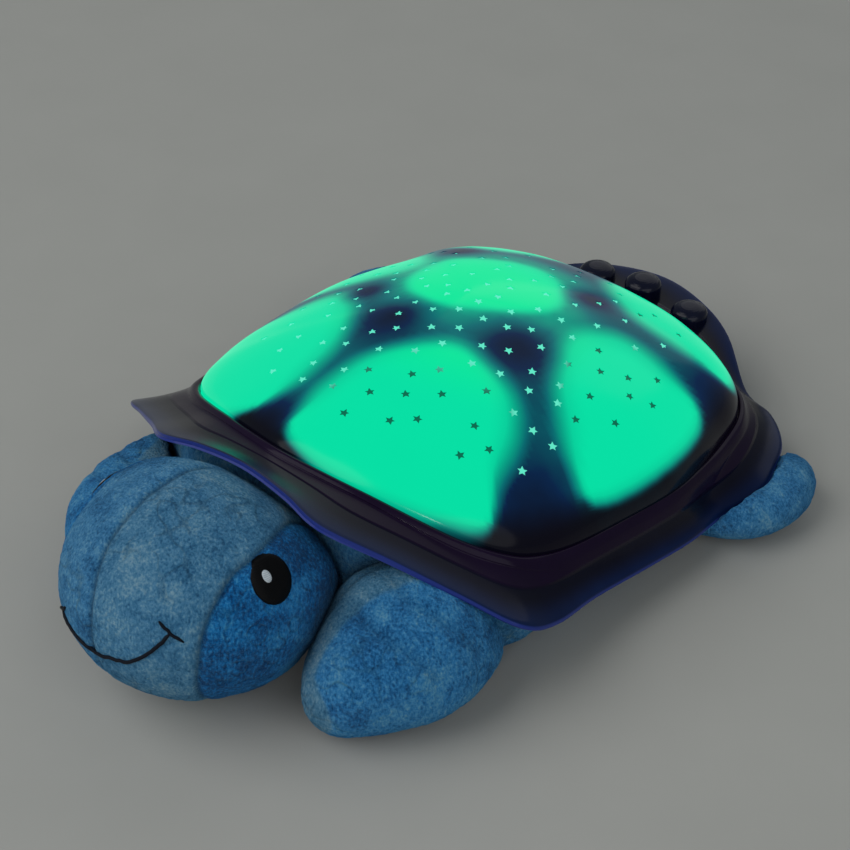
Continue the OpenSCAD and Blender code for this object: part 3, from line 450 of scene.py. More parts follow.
# Darkest knots between the scutes: x, y and radius in millimetres
KNOTS = [(-17, -5, 13), (29, 12, 14), (24, 66, 10), (-45, 66, 10), (-46, 10, 9), (82, -40, 19),
         (-17, -73, 12), (82, 80, 15), (-88, -14, 14), (-82, 78, 13)]
KNOT_DEPTH = 0.92
SCUTE_STEPS = 5
# Half the width of a scute's soft edge in millimetres, and how much less it is near the foot
EDGE_WIDTH = 11
EDGE_LESS = 7
MIDDLE_SPILL = 0.40
OUTER_SPILL = 0.14
SPILL_REACH = 14 * MM


def depth_inside(outline, points):
    """Distance of each point from a closed outline, positive inside it."""
    closed = [*outline, outline[0]]
    gap = nearest_on(closed, points)[0]
    inner = np.zeros(len(points), bool)
    x, y = points[:, 0], points[:, 1]
    for a, b in zip(closed[:-1], closed[1:]):
        if a[1] != b[1]:
            crossing = a[0] + (y - a[1]) / (b - a)[1] * (b - a)[0]
            inner ^= ((a[1] > y) != (b[1] > y)) & (x < crossing)
    return np.where(inner, gap, -gap)


def scute_light(points):
    """How brightly the dome's wall glows at each point, from 0 in the dark bands to 1."""
    flat = points[:, :2]
    edge = (EDGE_WIDTH - EDGE_LESS * smoothstep(shares(points), 0.70, 0.93)) * MM
    light = np.zeros(len(points))
    for name, corners in SCUTES.items():
        outline = closed_curve([np.array(c, float) * MM for c in corners], SCUTE_STEPS)
        depth = depth_inside(outline, flat)
        soft = smoothstep(depth, -edge, edge)
        spill = MIDDLE_SPILL if name == "middle" else OUTER_SPILL
        spill = spill * np.exp(-(np.minimum(depth, 0) / SPILL_REACH) ** 2)
        light = 1 - (1 - light) * (1 - np.maximum(soft, spill))
    for x, y, radius in KNOTS:
        away = np.hypot(flat[:, 0] - x * MM, flat[:, 1] - y * MM) / (radius * MM)
        light *= 1 - KNOT_DEPTH * np.exp(-away ** 2) * (1 - smoothstep(light, 0.75, 1.0))
    return light


# ------ dome
DOME_P = 1.3
DOME_Q = 0.55
DOME_LEVELS = 46
LEVEL_CROWDING = 1.9
STAR_COUNT = 132
STAR_R = 2.25 * MM
STAR_WAIST = 0.47
STAR_CORNERS = 10
STAR_REACH = 0.8
STAR_CROWDING = 0.58
STAR_STRAY = 9
GOLDEN = 137.508
SCATTER = (78.233, 37.719, 4375.85)
WINDOW_PLAY = 0.03 * MM
WINDOW_LOW = -1.7 * MM
WINDOW_HIGH = -0.35 * MM
BEARING = np.arctan2(FOOT[:, 1] - CROWN[1], FOOT[:, 0])
TURN = np.argsort(BEARING)


def dome_rise(t):
    """Height over the foot, as a share of the crown's, at a share of the way to the foot."""
    return np.maximum(0, 1 - t ** DOME_P) ** DOME_Q


def dome_ring(t):
    """Ring of the dome's outside at a share of the way to the foot."""
    points = CROWN + (FOOT - CROWN) * (t, t, 0)
    points[:, 2] = FOOT[:, 2] + (CROWN[2] - FOOT[:, 2]) * dome_rise(t)
    return points


def dome_levels():
    """Shares of the way from the crown to the foot, close together near the foot."""
    return [1 - (1 - j / DOME_LEVELS) ** LEVEL_CROWDING for j in range(1, DOME_LEVELS + 1)]


def on_foot(values, bearing):
    """Values of the dome's foot at a bearing in radians, seen from the crown."""
    return np.interp(bearing, BEARING[TURN], values[TURN], period=2 * math.pi)


def shares(points):
    """How far each point lies on the way from the crown to the foot, seen from above."""
    reach = np.hypot(FOOT[:, 0], FOOT[:, 1] - CROWN[1])
    edge = on_foot(reach, np.arctan2(points[:, 1] - CROWN[1], points[:, 0]))
    return np.hypot(points[:, 0], points[:, 1] - CROWN[1]) / edge


def nudge(i, k):
    """Even-spread number from 0 to 1 for the star i and the use k."""
    h = math.sin(math.radians(i * SCATTER[0] + k * SCATTER[1])) * SCATTER[2]
    return h - math.floor(h)


def on_dome(share, bearing):
    """Point of the dome's outside at a share of the way to the foot and a bearing in degrees."""
    at = math.radians((bearing + 180) % 360 - 180)
    foot = [on_foot(FOOT[:, c], at) for c in range(3)]
    x = foot[0] * share
    y = CROWN[1] + (foot[1] - CROWN[1]) * share
    return np.array([x, y, foot[2] + (CROWN[2] - foot[2]) * float(dome_rise(share))])


def star_frames():
    """Place of each star: a matrix whose Z axis stands out of the dome."""
    frames = []
    for i in range(STAR_COUNT):
        share = STAR_REACH * ((i + 0.6 + 0.5 * nudge(i, 1)) / (STAR_COUNT + 1)) ** STAR_CROWDING
        bearing = i * GOLDEN + STAR_STRAY * nudge(i, 2)
        here = on_dome(share, bearing)
        down = on_dome(share + 0.02, bearing) - here
        beside = on_dome(share, bearing + 2) - here
        axis = Vector(np.cross(down, beside)).normalized()
        first = Vector(down).normalized()
        turn = Matrix((first, axis.cross(first), axis)).transposed().to_4x4()
        turned = Matrix.Rotation(math.radians(720 / STAR_CORNERS * nudge(i, 3)), 4, "Z")
        frames.append(Matrix.Translation(Vector(here)) @ turn @ turned)
    return frames


def star_prisms(radius, low, high):
    """All stars as closed prisms from low to high along their axes."""
    n = STAR_CORNERS
    points, faces = [], []
    for matrix in star_frames():
        start = len(points)
        for z in (low, high):
            for k in range(n):
                r = radius * (1 if k % 2 == 0 else STAR_WAIST)
                a = math.radians(360 / n * k)
                points.append(matrix @ Vector((r * math.cos(a), r * math.sin(a), z)))
        faces.append(tuple(start + k for k in range(n - 1, -1, -1)))
        faces.append(tuple(start + n + k for k in range(n)))
        faces += [(start + k, start + (k + 1) % n, start + n + (k + 1) % n, start + n + k)
                  for k in range(n)]
    return points, faces


def plain_dome(finish):
    """The dome before its stars are cut, as one closed wall."""
    outer = np.array([dome_ring(t) for t in dome_levels()])
    hub = np.broadcast_to(CROWN, (1, AROUND, 3))
    padded = np.concatenate([hub, outer, outer[-1:] - UP * MM])
    down = padded[2:] - padded[:-2]
    beside = np.roll(outer, -1, axis=1) - np.roll(outer, 1, axis=1)
    normal = np.cross(down, beside)
    normal /= np.linalg.norm(normal, axis=2)[:, :, None]
    inner = outer - normal * DOME_WALL
    low = inside(0, FOOT[:, 2] - LEDGE_DROP + DOME_SEAT)
    low_in = inside(-DOME_WALL, FOOT[:, 2] - LEDGE_DROP + DOME_SEAT)
    inner[-1] = inside(-DOME_WALL, FOOT[:, 2])
    stack = [*outer, low, low_in, *inner[::-1]]
    points = np.concatenate([[CROWN], *stack, [CROWN - UP * DOME_WALL]])
    return piece("light_dome", points, pole_faces(len(stack), AROUND), finish, ridden=False)


# How close to the guide's surface, and how nearly turned its way, a face on it is
SKIN_GAP = 0.15 * MM
SAME_WAY = 0.8


def surface_normals(mesh, guide):
    """Gives faces on the guide's surface its smooth normals, so that cuts leave no dents."""
    tree = tree_of(guide)
    smooth = points_of(guide, "normal")
    corners = points_of(guide)
    kept = [tuple(n.vector) for n in mesh.corner_normals]
    for polygon in mesh.polygons:
        for loop in polygon.loop_indices:
            at = mesh.vertices[mesh.loops[loop].vertex_index].co
            near, flat, index, gap = tree.find_nearest(at)
            if index is None or gap > SKIN_GAP or flat.dot(polygon.normal) < SAME_WAY:
                continue
            around = list(guide.polygons[index].vertices)
            weight = 1 / (np.linalg.norm(corners[around] - np.array(near), axis=1) + 0.02 * MM)
            mean = (smooth[around] * weight[:, None]).sum(0)
            kept[loop] = tuple(mean / np.linalg.norm(mean))
    mesh.normals_split_custom_set(kept)


def light_marks(mesh):
    """Writes how far down the dome each point lies and how brightly it glows."""
    at = points_of(mesh)
    write_mark(mesh, "share", shares(at))
    write_mark(mesh, "glow", scute_light(at))


def make_dome(finish, clear):
    dome = plain_dome(finish)
    guide = dome.data.copy()
    points, faces = star_prisms(STAR_R, -4 * DOME_WALL, 2 * DOME_WALL)
    cutter = piece("star_cutter", points, faces, finish, ridden=False)
    cut = dome.modifiers.new("stars", "BOOLEAN")
    cut.operation = "DIFFERENCE"
    cut.solver = "MANIFOLD"
    cut.object = cutter
    applied(dome)
    bpy.data.objects.remove(cutter)
    mesh = dome.data
    mesh.set_sharp_from_angle(angle=math.radians(40))
    surface_normals(mesh, guide)
    light_marks(mesh)
    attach(dome, "projector")
    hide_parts("dome_shell")
    points, faces = star_prisms(STAR_R - WINDOW_PLAY, WINDOW_LOW, WINDOW_HIGH)
    stars = piece("star_windows", points, faces, clear, smooth=False)
    light_marks(stars.data)


# ------ brim
def make_brim(finish):
    """Runs the brim's section round the shell, from the ledge over the lip to the skirt."""
    ledge = FOOT[:, 2] - LEDGE_DROP
    middle = (BEAD_W + RUN) / 2
    top = through([along(0.4 * MM, 0.4 * MM), along(BEAD_W * 0.22, BEAD_H * 0.8),
                   along(BEAD_W / 2, BEAD_H), along(BEAD_W * 0.78, BEAD_H * 0.25),
                   along(BEAD_W, -GROOVE), along(middle, -DISH), along(RUN - LIP_ROUND)],
                  SECTION_STEPS)
    lip = [along(RUN - 0.25 * MM, -0.12 * MM), along(RUN, -0.4 * BRIM_WALL),
           along(RUN - 0.1 * MM, -0.72 * BRIM_WALL)]
    under = through([below(RUN, 0), below(middle, -DISH), below(BEAD_W, -GROOVE)], SECTION_STEPS)
    section = [inside(-LEDGE_W, ledge), inside(0.3 * MM, ledge), *top, *lip, *under,
               inside(0, ledge - BRIM_WALL), inside(BRIM_WALL - LEDGE_W, ledge - BRIM_WALL),
               inside(BRIM_WALL - LEDGE_W, SKIRT_FOOT), inside(-LEDGE_W, SKIRT_FOOT)]
    points = np.array(section).transpose(1, 0, 2).reshape(-1, 3)
    brim = piece("wavy_brim", points, torus_faces(AROUND, len(section)), finish)
    reach = np.clip([np.einsum("ij,ij->i", p - FOOT, OUTWARD) / RUN for p in section], 0, 1)
    write_mark(brim.data, "reach", reach.T.ravel())
    brim.data.set_sharp_from_angle(angle=math.radians(50))
    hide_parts("shell_brim")


# ------ plush
def plush_finish(name):
    """Short-pile plush, brushed in patches, with painted shade in its seams, in the creases of its
    nap and where pieces meet.

    The mark "tone" runs from 0, the greyer blue of the face, to 1, the deep blue of its sides.
    """
    f = Finish(name, roughness=0.95, sheen_weight=0.35, sheen_roughness=0.4,
               specular_ior_level=0.05)
    f.set("Sheen Tint", "#7fb4d6")
    patch = f.grain(9, 3.0, 0.6)
    wide = f.grain(34, 2.0)
    tuft = f.grain(1.3, 5.0, 0.75)
    tone = f.mark("tone")
    strand = f.grain(0.9, 2.0, 0.6, stretch=(1, 1, 0.45))
    mottle = (patch - 0.5) * 0.9 + (wide - 0.5) * 0.7 + (tuft - 0.5) * 1.1 + (strand - 0.5) * 0.9
    level = mottle + 0.5 - (tone - 0.7).most(0.0) * 0.55
    pale = f.ramp(level, (0.10, "#2b628c"), (0.32, "#4684ad"), (0.50, "#5f99be"), (0.68, "#80afca"),
                  (0.92, "#a6c8d8"))
    rich = f.ramp(level, (0.10, "#04437f"), (0.32, "#116fb8"), (0.50, "#2690db"), (0.68, "#4ca9e0"),
                  (0.92, "#84c4e6"))
    colour = f.mix(tone.most(0.0).least(1.0), pale, rich)
    # the nap is crushed into short curled creases here and there, with shade painted into them
    curl = 1 - abs(f.grain(8, 0.0) - 0.5).over(0.0, 0.06)
    crushed = curl * f.grain(26, 1.0).over(0.44, 0.60)
    # painted shade: darker in the seams, where pieces meet and in the nap's creases
    painted_shade = (f.mark("seam") * 0.55).most(f.mark("nook_shade") * 0.93).most(crushed * 0.32)
    f.base(painted_shade, colour, "#03152d")
    pile = tuft * 1.3 + strand * 0.8 + f.grain(3, 3.0, 0.6) * 1.4 - crushed * 0.35
    f.relief(pile, 1.8)
    return f


LINE_STEPS = 4


def mm_line(*points):
    """Smooth line through points in millimetres."""
    rows = [np.array(p, float) * MM for p in points]
    return np.array(through(rows, LINE_STEPS))


def mirrored(line):
    return line * (-1, 1, 1)


CENTRE_SEAM = mm_line((-5, -100, 77), (-7.6, -135.9, 84.6), (-7.9, -152.2, 80.1),
                      (-7.4, -164.2, 72.9), (-4.7, -172.5, 64.4), (-2.5, -178.7, 52.1),
                      (-1.6, -179.7, 39.3), (-1.4, -176, 22), (-1.2, -164, 6))
SIDE_SEAM = mm_line((25, -96, 62), (27, -105.8, 68.6), (33.8, -121.6, 73.9), (36.3, -134, 73.3),
                    (35.8, -142.6, 71.5), (36.5, -150.1, 66.9), (37.1, -156.2, 61.6),
                    (37.4, -161.3, 53.2), (37.6, -163.7, 44.1), (35, -163, 30.4),
                    (32, -158, 14), (29, -148, 3))
MOUTH = mm_line((-4.7, -179.2, 37), (2.1, -179.6, 38.2), (9.4, -179, 40), (15.6, -177.4, 41.6),
                (21.1, -175.2, 45.5), (24.9, -172.7, 49.7), (27.3, -170, 53.8),
                (28.6, -168.2, 56.1))
SMILE = mm_line((24.4, -168.6, 60), (27, -168.4, 57.6), (29.1, -167.8, 56.1), (33, -165.5, 53.6))
# The mouth's hidden half is shorter: it ends at this point of the line
FAR_END = 13
FLIPPER_EDGE = mm_line((66, -66, 34), (60, -85, 40), (52, -104, 40), (48, -122, 34),
                       (50, -134, 24), (58, -137, 17))
FLIPPER_CREASES = [
    mm_line((62, -98, 42), (72, -99, 41), (82, -94, 36), (89, -86, 27)),
    mm_line((60, -112, 41), (69, -113, 40), (78, -109, 34), (84, -103, 26)),
]
# Where the left front fin is filled fuller than its solid, and where the body is drawn in:
# centre, reach and push
FRONT_SWELLS = [((54, -92, 40), 25, (-3, 4, 11)), ((76, -80, 36), 22, (1, 2, 7)),
                ((90, -93, 13), 24, (7, -1, 1)), ((46, -108, 32), 20, (-4, 1, 3))]
BODY_SWELLS = [((92, -60, 14), 24, (-10, 7, 0))]

WELD_GAP = 0.01 * MM
SMOOTH_ROUNDS = 5
SEAM_HOLD = 1.3
FLOOR_HOLD = 1.5 * MM
FILL_FRAMES = 14
FILL_PRESSURE = 6
SEAM_DEPTH = 1.2 * MM
SEAM_WIDTH = 1.6 * MM
# The shade painted along the seams and creases: its widths, and its darkness in the creases
SEAM_SHADE = 1.1 * MM
CREASE_DEPTH = 0.8 * MM
CREASE_WIDTH = 2.4 * MM
CREASE_SHADE = 2 * MM
CREASE_SHADE_DARKNESS = 0.35
LUMP_SIZE = 11 * MM
LUMP_HEIGHT = 0.6 * MM
NAP_SIZE = 1.9 * MM
NAP_HEIGHT = 0.24 * MM
FLOOR_GAP = 0.1 * MM
# How far from another piece shade is painted into the pile
NOOK_SHADE_REACH = 12 * MM
PLAIN_TONE = 0.6
FACE_TONE = 0.15
RIGHT_TONE = 0.3
CHEEK_TONE = 0.85
FIN_TONE = 0.75


def edited(mesh, work):
    """Runs work on a mesh's editable form."""
    form = bmesh.new()
    form.from_mesh(mesh)
    work(form)
    form.to_mesh(mesh)
    form.free()


def smooth_steps(form):
    """Rounds the steps that the remesh leaves."""
    for _ in range(SMOOTH_ROUNDS):
        bmesh.ops.smooth_vert(form, verts=form.verts, factor=0.5, use_axis_x=True,
                              use_axis_y=True, use_axis_z=True)


def soft_start(part, finish):
    """Copy of a soft solid, remeshed fine and drawn in a little, for its filling to push out."""
    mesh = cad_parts[part.node].data.copy()
    soft = bpy.data.objects.new(part.name, mesh)
    SCENE.collection.objects.link(soft)
    edited(mesh, lambda form: bmesh.ops.remove_doubles(form, verts=form.verts, dist=WELD_GAP))
    remesh = soft.modifiers.new("remesh", "REMESH")
    remesh.mode = "VOXEL"
    remesh.voxel_size = voxel = part.voxel * MM
    applied(soft)
    edited(soft.data, smooth_steps)
    points = points_of(soft.data)
    drawn_in = max(0.2, part.cap - 0.4) * MM
    move_points(soft.data, points - points_of(soft.data, "normal") * drawn_in)
    soft.data.materials.clear()
    soft.data.materials.append(finish.material)
    fixed = np.zeros(len(points), bool)
    for line in part.seams:
        fixed |= nearest_on(line, points)[0] < SEAM_HOLD * voxel
    fixed |= points[:, 2] < FLOOR_HOLD
    group = soft.vertex_groups.new(name="held")
    group.add([int(i) for i in np.flatnonzero(fixed)], 1.0, "REPLACE")
    return soft


def fill_pieces(pieces):
    """Cloth simulation: pressure fills every piece, held along its seams, up to its cap."""
    for soft, cap in pieces:
        cloth = soft.modifiers.new("filling", "CLOTH")
        cloth.settings.use_pressure = True
        cloth.settings.uniform_pressure_force = FILL_PRESSURE
        cloth.settings.effector_weights.gravity = 0
        cloth.settings.vertex_group_mass = "held"
        cloth.settings.quality = 4
        cloth.settings.bending_stiffness = 0.3
        cloth.collision_settings.use_collision = False
        cloth.point_cache.frame_start = 1
        cloth.point_cache.frame_end = FILL_FRAMES
    for number in range(1, FILL_FRAMES + 1):
        SCENE.frame_set(number)
    graph = bpy.context.evaluated_depsgraph_get()
    filled = [points_of(soft.evaluated_get(graph).data) for soft, cap in pieces]
    for (soft, cap), points in zip(pieces, filled):
        soft.modifiers.clear()
        start = points_of(soft.data)
        moved = points - start
        size = np.linalg.norm(moved, axis=1)[:, None] + 1e-9
        move_points(soft.data, start + moved * np.minimum(1, cap / size))
    SCENE.frame_set(1)


def swelled(points, swells):
    """Points pushed out where the piece is fuller than its solid."""
    moved = points.copy()
    for centre, reach, push in swells:
        gap = np.linalg.norm(points - np.array(centre) * MM, axis=1)
        moved += np.exp(-(gap / (reach * MM)) ** 2)[:, None] * np.array(push) * MM
    return moved


FAR_OUT = 120 * MM


class Skin:
    """A piece's surface, to lay seams and stitches on."""

    def __init__(self, soft):
        self.tree = tree_of(soft.data)

    def outer(self, origin, direction):
        """Outermost point of the skin along a ray from inside the piece."""
        return self.tree.ray_cast(origin + direction * FAR_OUT, -direction)[0]

    def nearest(self, point):
        place, normal, _, _ = self.tree.find_nearest(Vector(point))
        return place, normal


def finish_soft(soft, part):
    """Subdivides a filled piece, presses its seams in and marks shade painted along them and its
    creases for the finish.
    """
    rounded = soft.modifiers.new("rounded", "SUBSURF")
    rounded.levels = rounded.render_levels = part.levels
    applied(soft)
    mesh = soft.data
    points, normals = points_of(mesh), points_of(mesh, "normal")
    skin = Skin(soft)
    laid = lambda line: np.array([skin.nearest(p)[0] for p in line])
    depth = np.zeros(len(points))
    # painted shade along the seams and creases
    mark = np.zeros(len(points))
    for line in part.seams:
        gap = nearest_on(laid(line), points)[0]
        depth += SEAM_DEPTH * np.exp(-(gap / SEAM_WIDTH) ** 2)
        mark = np.maximum(mark, np.exp(-(gap / SEAM_SHADE) ** 2))
    for line in part.creases:
        gap = nearest_on(laid(line), points)[0]
        depth += CREASE_DEPTH * np.exp(-(gap / CREASE_WIDTH) ** 2)
        mark = np.maximum(mark, CREASE_SHADE_DARKNESS * np.exp(-(gap / CREASE_SHADE) ** 2))
    lumps = np.array([noise.noise(Vector(p) / LUMP_SIZE) for p in points])
    nap = np.array([noise.noise(Vector(p) / NAP_SIZE) for p in points])
    write_mark(mesh, "seam", mark)
    write_mark(mesh, "tone", part.tone(points, normals))
    points = swelled(points, part.swells)
    points += normals * (LUMP_HEIGHT * lumps + NAP_HEIGHT * nap - depth)[:, None]
    points[:, 2] = np.maximum(points[:, 2], FLOOR_GAP)
    move_points(mesh, points)
    mesh.polygons.foreach_set("use_smooth", [True] * len(mesh.polygons))
    mesh.update()
    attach(soft, "projector")
    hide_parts(part.node)


def behind(line, points, normals):
    """1 on the left of a line that lies on the surface, 0 on its right."""
    gap, place, heading = nearest_on(line, points)
    side = np.einsum("ij,ij->i", np.cross(heading, points - place), normals)
    return smoothstep(side, -0.6 * MM, 0.6 * MM)


def plain_tone(points, normals):
    return np.full(len(points), PLAIN_TONE)


def head_tone(points, normals):
    """Side panels are a deeper blue than the face; the face's right half a little deeper."""
    cheek = np.maximum(behind(SIDE_SEAM, points, normals),
                       1 - behind(mirrored(SIDE_SEAM), points, normals))
    right = 1 - behind(CENTRE_SEAM, points, normals)
    return FACE_TONE + RIGHT_TONE * right * (1 - cheek) + CHEEK_TONE * cheek


def flipper_tone(points, normals):
    """A paler strip runs along a front flipper's leading edge."""
    line = FLIPPER_EDGE * (np.sign(points[:, 0].mean()), 1, 1)
    return FIN_TONE * smoothstep(nearest_on(line, points)[0], 11 * MM, 13 * MM)


def mark_painted_nook_shade(pieces):
    """Marks where a piece lies close to another, for the shade painted into the pile there."""
    trees = [tree_of(p.data) for p in pieces]
    for own, soft in enumerate(pieces):
        nook_shade = np.zeros(len(soft.data.vertices))
        for other, tree in enumerate(trees):
            if other == own:
                continue
            for i, vertex in enumerate(soft.data.vertices):
                gap = tree.find_nearest(vertex.co, NOOK_SHADE_REACH)[3]
                if gap is not None:
                    nook_shade[i] = max(nook_shade[i], 1 - gap / NOOK_SHADE_REACH)
        write_mark(soft.data, "nook_shade", nook_shade ** 1.5)


# A soft piece: its node, its mesh's step and how far its filling may push it in millimetres, how
# often it is subdivided, its lines, its tone and where it departs from its solid
SoftPart = namedtuple("SoftPart", "name node voxel cap levels seams creases tone swells",
                      defaults=(1, (), (), plain_tone, ()))


def soft_parts():
    """Plan of the stuffed pieces, the head first."""
    head_seams = [CENTRE_SEAM, SIDE_SEAM, mirrored(SIDE_SEAM)]
    parts = [
        SoftPart("turtle_head", "plush_head", 2.6, 2.0, 2, head_seams, tone=head_tone),
        SoftPart("turtle_body", "plush_body", 2.6, 0.0, swells=BODY_SWELLS),
        SoftPart("turtle_tail", "plush_tail", 1.6, 1.0),
    ]
    for side, flip in (("left", lambda line: line), ("right", mirrored)):
        creases = [flip(c) for c in FLIPPER_CREASES]
        swells = FRONT_SWELLS if side == "left" else ()
        parts.append(SoftPart("front_fin_" + side, "front_flipper_" + side, 2.2, 2.0, 2,
                              [flip(FLIPPER_EDGE)], creases, flipper_tone, swells))
        parts.append(SoftPart("rear_fin_" + side, "rear_flipper_" + side, 2.2, 1.6))
    return parts


def make_plush(finish):
    """All stuffed pieces; gives the head back."""
    parts = soft_parts()
    made = [soft_start(part, finish) for part in parts]
    fill_pieces([(soft, part.cap * MM) for soft, part in zip(made, parts) if part.cap > 0])
    for soft, part in zip(made, parts):
        finish_soft(soft, part)
    mark_painted_nook_shade(made)
    return made[0]


# ------ face
THREAD_PITCH = 0.5 * MM


def thread_finish(name, dark, light):
    """Satin-stitched thread: fine ridges, with painted highlight on their tops and painted shade
    between them.
    """
    f = Finish(name, roughness=0.5, specular_ior_level=0.12)
    pitch = 2 * math.pi / THREAD_PITCH
    ridge = (f.axis("Z") * pitch + f.grain(2) * 3).wave() * 0.5 + 0.5
    # painted highlight and shade: lighter on the ridges, darker between them
    f.base(ridge * f.grain(1), dark, light)
    f.relief(ridge, 0.08, 0.7)
    return f


EYE_R = 9.2 * MM
EYE_SLIM = 0.9
EYE_PROUD = 0.7 * MM
EYE_YAW = 85
EYE_PITCH = 28
FAR_EYE_PITCH = 23
GLINT_ACROSS = 1.9 * MM
GLINT_UP = 2.1 * MM
GLINT_HALF_W = 1.9 * MM
GLINT_HALF_H = 2.7 * MM
GLINT_PROUD = 1.1 * MM
BACKING = 0.4 * MM
MOUTH_R = 0.7 * MM
SMILE_R = 0.6 * MM
MOUTH_MIDDLE = (-3 * MM, 0, 0)
HEAD_MIDDLE = Vector((0, -128, 42.75)) * MM


def stitched_patch(skin, yaw, pitch, middle, wide, tall, proud, finish, name, rings=9, sides=40):
    """Oval patch of stitches that follows the head, domed a little at its middle."""
    yawed = Matrix.Rotation(math.radians(yaw), 3, "Z")
    turn = yawed @ Matrix.Rotation(-math.radians(pitch), 3, "X")
    out = turn @ Vector((0, -1, 0))
    across = turn @ Vector((1, 0, 0))
    up = turn @ Vector((0, 0, 1))
    points, faces = [], []
    for ring_ in range(rings + 1):
        share = 1 - ring_ / rings
        for k in range(sides):
            a = 2 * math.pi * k / sides
            spot = (across * (middle[0] + wide * share * math.cos(a))
                    + up * (middle[1] + tall * share * math.sin(a)))
            base = skin.outer(HEAD_MIDDLE + spot, out)
            lift = proud * (1 - share ** 6) ** 0.5 - 0.25 * MM * (ring_ == 0)
            points.append(base + out * lift)
    for r in range(rings):
        for k in range(sides):
            j = (k + 1) % sides
            faces.append((r * sides + k, r * sides + j, (r + 1) * sides + j, (r + 1) * sides + k))
    weld = piece(name, points, faces, finish)
    back = weld.modifiers.new("backing", "SOLIDIFY")
    back.thickness = BACKING
    back.offset = -1
    return applied(weld)


def stitched_line(skin, line, radius, finish, name):
    """Cord of stitches laid on the head, round in section and tapered at its ends."""
    rows = []
    for point in line:
        place, normal = skin.nearest(point)
        rows.append((place + normal * radius * 0.35, normal))
    sides = 10
    points, faces = [rows[0][0]], []
    for i, (place, normal) in enumerate(rows):
        ahead = rows[min(i + 1, len(rows) - 1)][0] - rows[max(i - 1, 0)][0]
        ahead.normalize()
        beside = ahead.cross(normal).normalized()
        ends = min(i, len(rows) - 1 - i)
        thick = radius * min(1.0, 0.45 + 0.3 * ends)
        for k in range(sides):
            a = 2 * math.pi * k / sides
            points.append(place + (beside * math.cos(a) + normal * math.sin(a)) * thick)
    points.append(rows[-1][0])
    return piece(name, points, pole_faces(len(rows), sides), finish)


def make_face(head):
    skin = Skin(head)
    black = thread_finish("eye_black_thread", "#010102", "#0a0b0e")
    white = thread_finish("glint_thread", "#a8b4bd", "#dde4e8")
    dark = thread_finish("mouth_thread", "#070b14", "#141b2a")
    for side, name, pitch in ((1, "left", EYE_PITCH), (-1, "right", FAR_EYE_PITCH)):
        yaw = side * EYE_YAW
        eye = stitched_patch(skin, yaw, pitch, (0, 0), EYE_SLIM * EYE_R, EYE_R, EYE_PROUD,
                             black, "eye_" + name)
        if side == 1:
            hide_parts("eyes")
        stitched_patch(skin, yaw, pitch, (-side * GLINT_ACROSS, GLINT_UP), GLINT_HALF_W,
                       GLINT_HALF_H, GLINT_PROUD, white, "eye_glint_" + name, 5, 24)
    other = lambda line: (line - MOUTH_MIDDLE) * (-1, 1, 1) + MOUTH_MIDDLE
    whole = np.concatenate([other(MOUTH)[FAR_END::-1], MOUTH[1:]])
    stitched_line(skin, whole, MOUTH_R, dark, "mouth_stitching")
    stitched_line(skin, SMILE, SMILE_R, dark, "smile_left")
    far = other(SMILE - MOUTH[-1] + MOUTH[FAR_END])
    stitched_line(skin, far, SMILE_R, dark, "smile_right")


# ------ belly flap
FLAP_HALF_W = 42 * MM
FLAP_HALF_L = 34 * MM
FLAP_N = 6
FLAP_MIDDLE = Vector((0, 18 * MM, 0.5 * MM))
FLAP_RAISED = 0.55 * MM
FLAP_THICK = 0.9 * MM
FLAP_WAVE = 0.12 * MM
FLAP_WAVE_SIZE = 14 * MM


def flap_finish():
    """Woven lining cloth."""
    f = Finish("flap_cloth", roughness=0.9, sheen_weight=0.3, specular_ior_level=0.2)
    pitch = 2 * math.pi / (0.7 * MM)
    weave = (f.axis("X") * pitch).wave() * (f.axis("Y") * pitch).wave() * 0.5 + 0.5
    f.base(weave * 0.5 + f.grain(8) * 0.5, "#23507f", "#3f74a8")
    f.relief(weave, 0.12, 0.8)
    return f


def make_flap(finish):
    """Thin wavy cloth with rounded corners; its rings are left open at the end."""
    rings, sides = 16, 96
    points = [FLAP_MIDDLE + Vector((0, 0, FLAP_RAISED))]
    for r in range(1, rings + 1):
        for k in range(sides):
            a = 2 * math.pi * k / sides
            c, s = math.cos(a), math.sin(a)
            sides_sum = abs(c / FLAP_HALF_W) ** FLAP_N + abs(s / FLAP_HALF_L) ** FLAP_N
            size = sides_sum ** (-1 / FLAP_N)
            x, y = size * c * r / rings, size * s * r / rings
            wave = FLAP_WAVE * noise.noise(Vector((x, y, 0)) / FLAP_WAVE_SIZE)
            edge = FLAP_WAVE * (r == rings)
            points.append(FLAP_MIDDLE + Vector((x, y, FLAP_RAISED + wave - edge)))
    faces = pole_faces(rings, sides)[:-sides]
    flap = piece("belly_flap_cloth", points, faces, finish, body="belly_flap")
    thick = flap.modifiers.new("cloth", "SOLIDIFY")
    thick.thickness = FLAP_THICK
    thick.offset = 0
    applied(flap)
    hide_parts("belly_flap")
    gamma = math.gamma
    share = gamma(1 + 1 / FLAP_N) ** 2 / gamma(1 + 2 / FLAP_N)
    area = 4 * FLAP_HALF_W * FLAP_HALF_L * share


# ------ finishes of the CAD nodes
def moulded(name, dark, light, rough=0.45):
    """Moulded plastic with the fine spark texture of a tool."""
    f = Finish(name, specular_ior_level=0.4)
    spark = f.grain(0.35, 4.0, 0.7)
    f.base(f.grain(12) * 0.6 + spark * 0.4, dark, light)
    f.set("Roughness", spark * 0.15 + rough - 0.07)
    f.relief(spark, 0.02, 0.7)
    return f


def glossy_finish(name, dark, light):
    """Shiny moulded plastic or sleeve."""
    f = Finish(name, specular_ior_level=0.25)
    f.base(f.grain(8), dark, light)
    f.set("Roughness", f.grain(2) * 0.1 + 0.14)
    f.relief(f.grain(0.5), 0.003, 0.3)
    return f


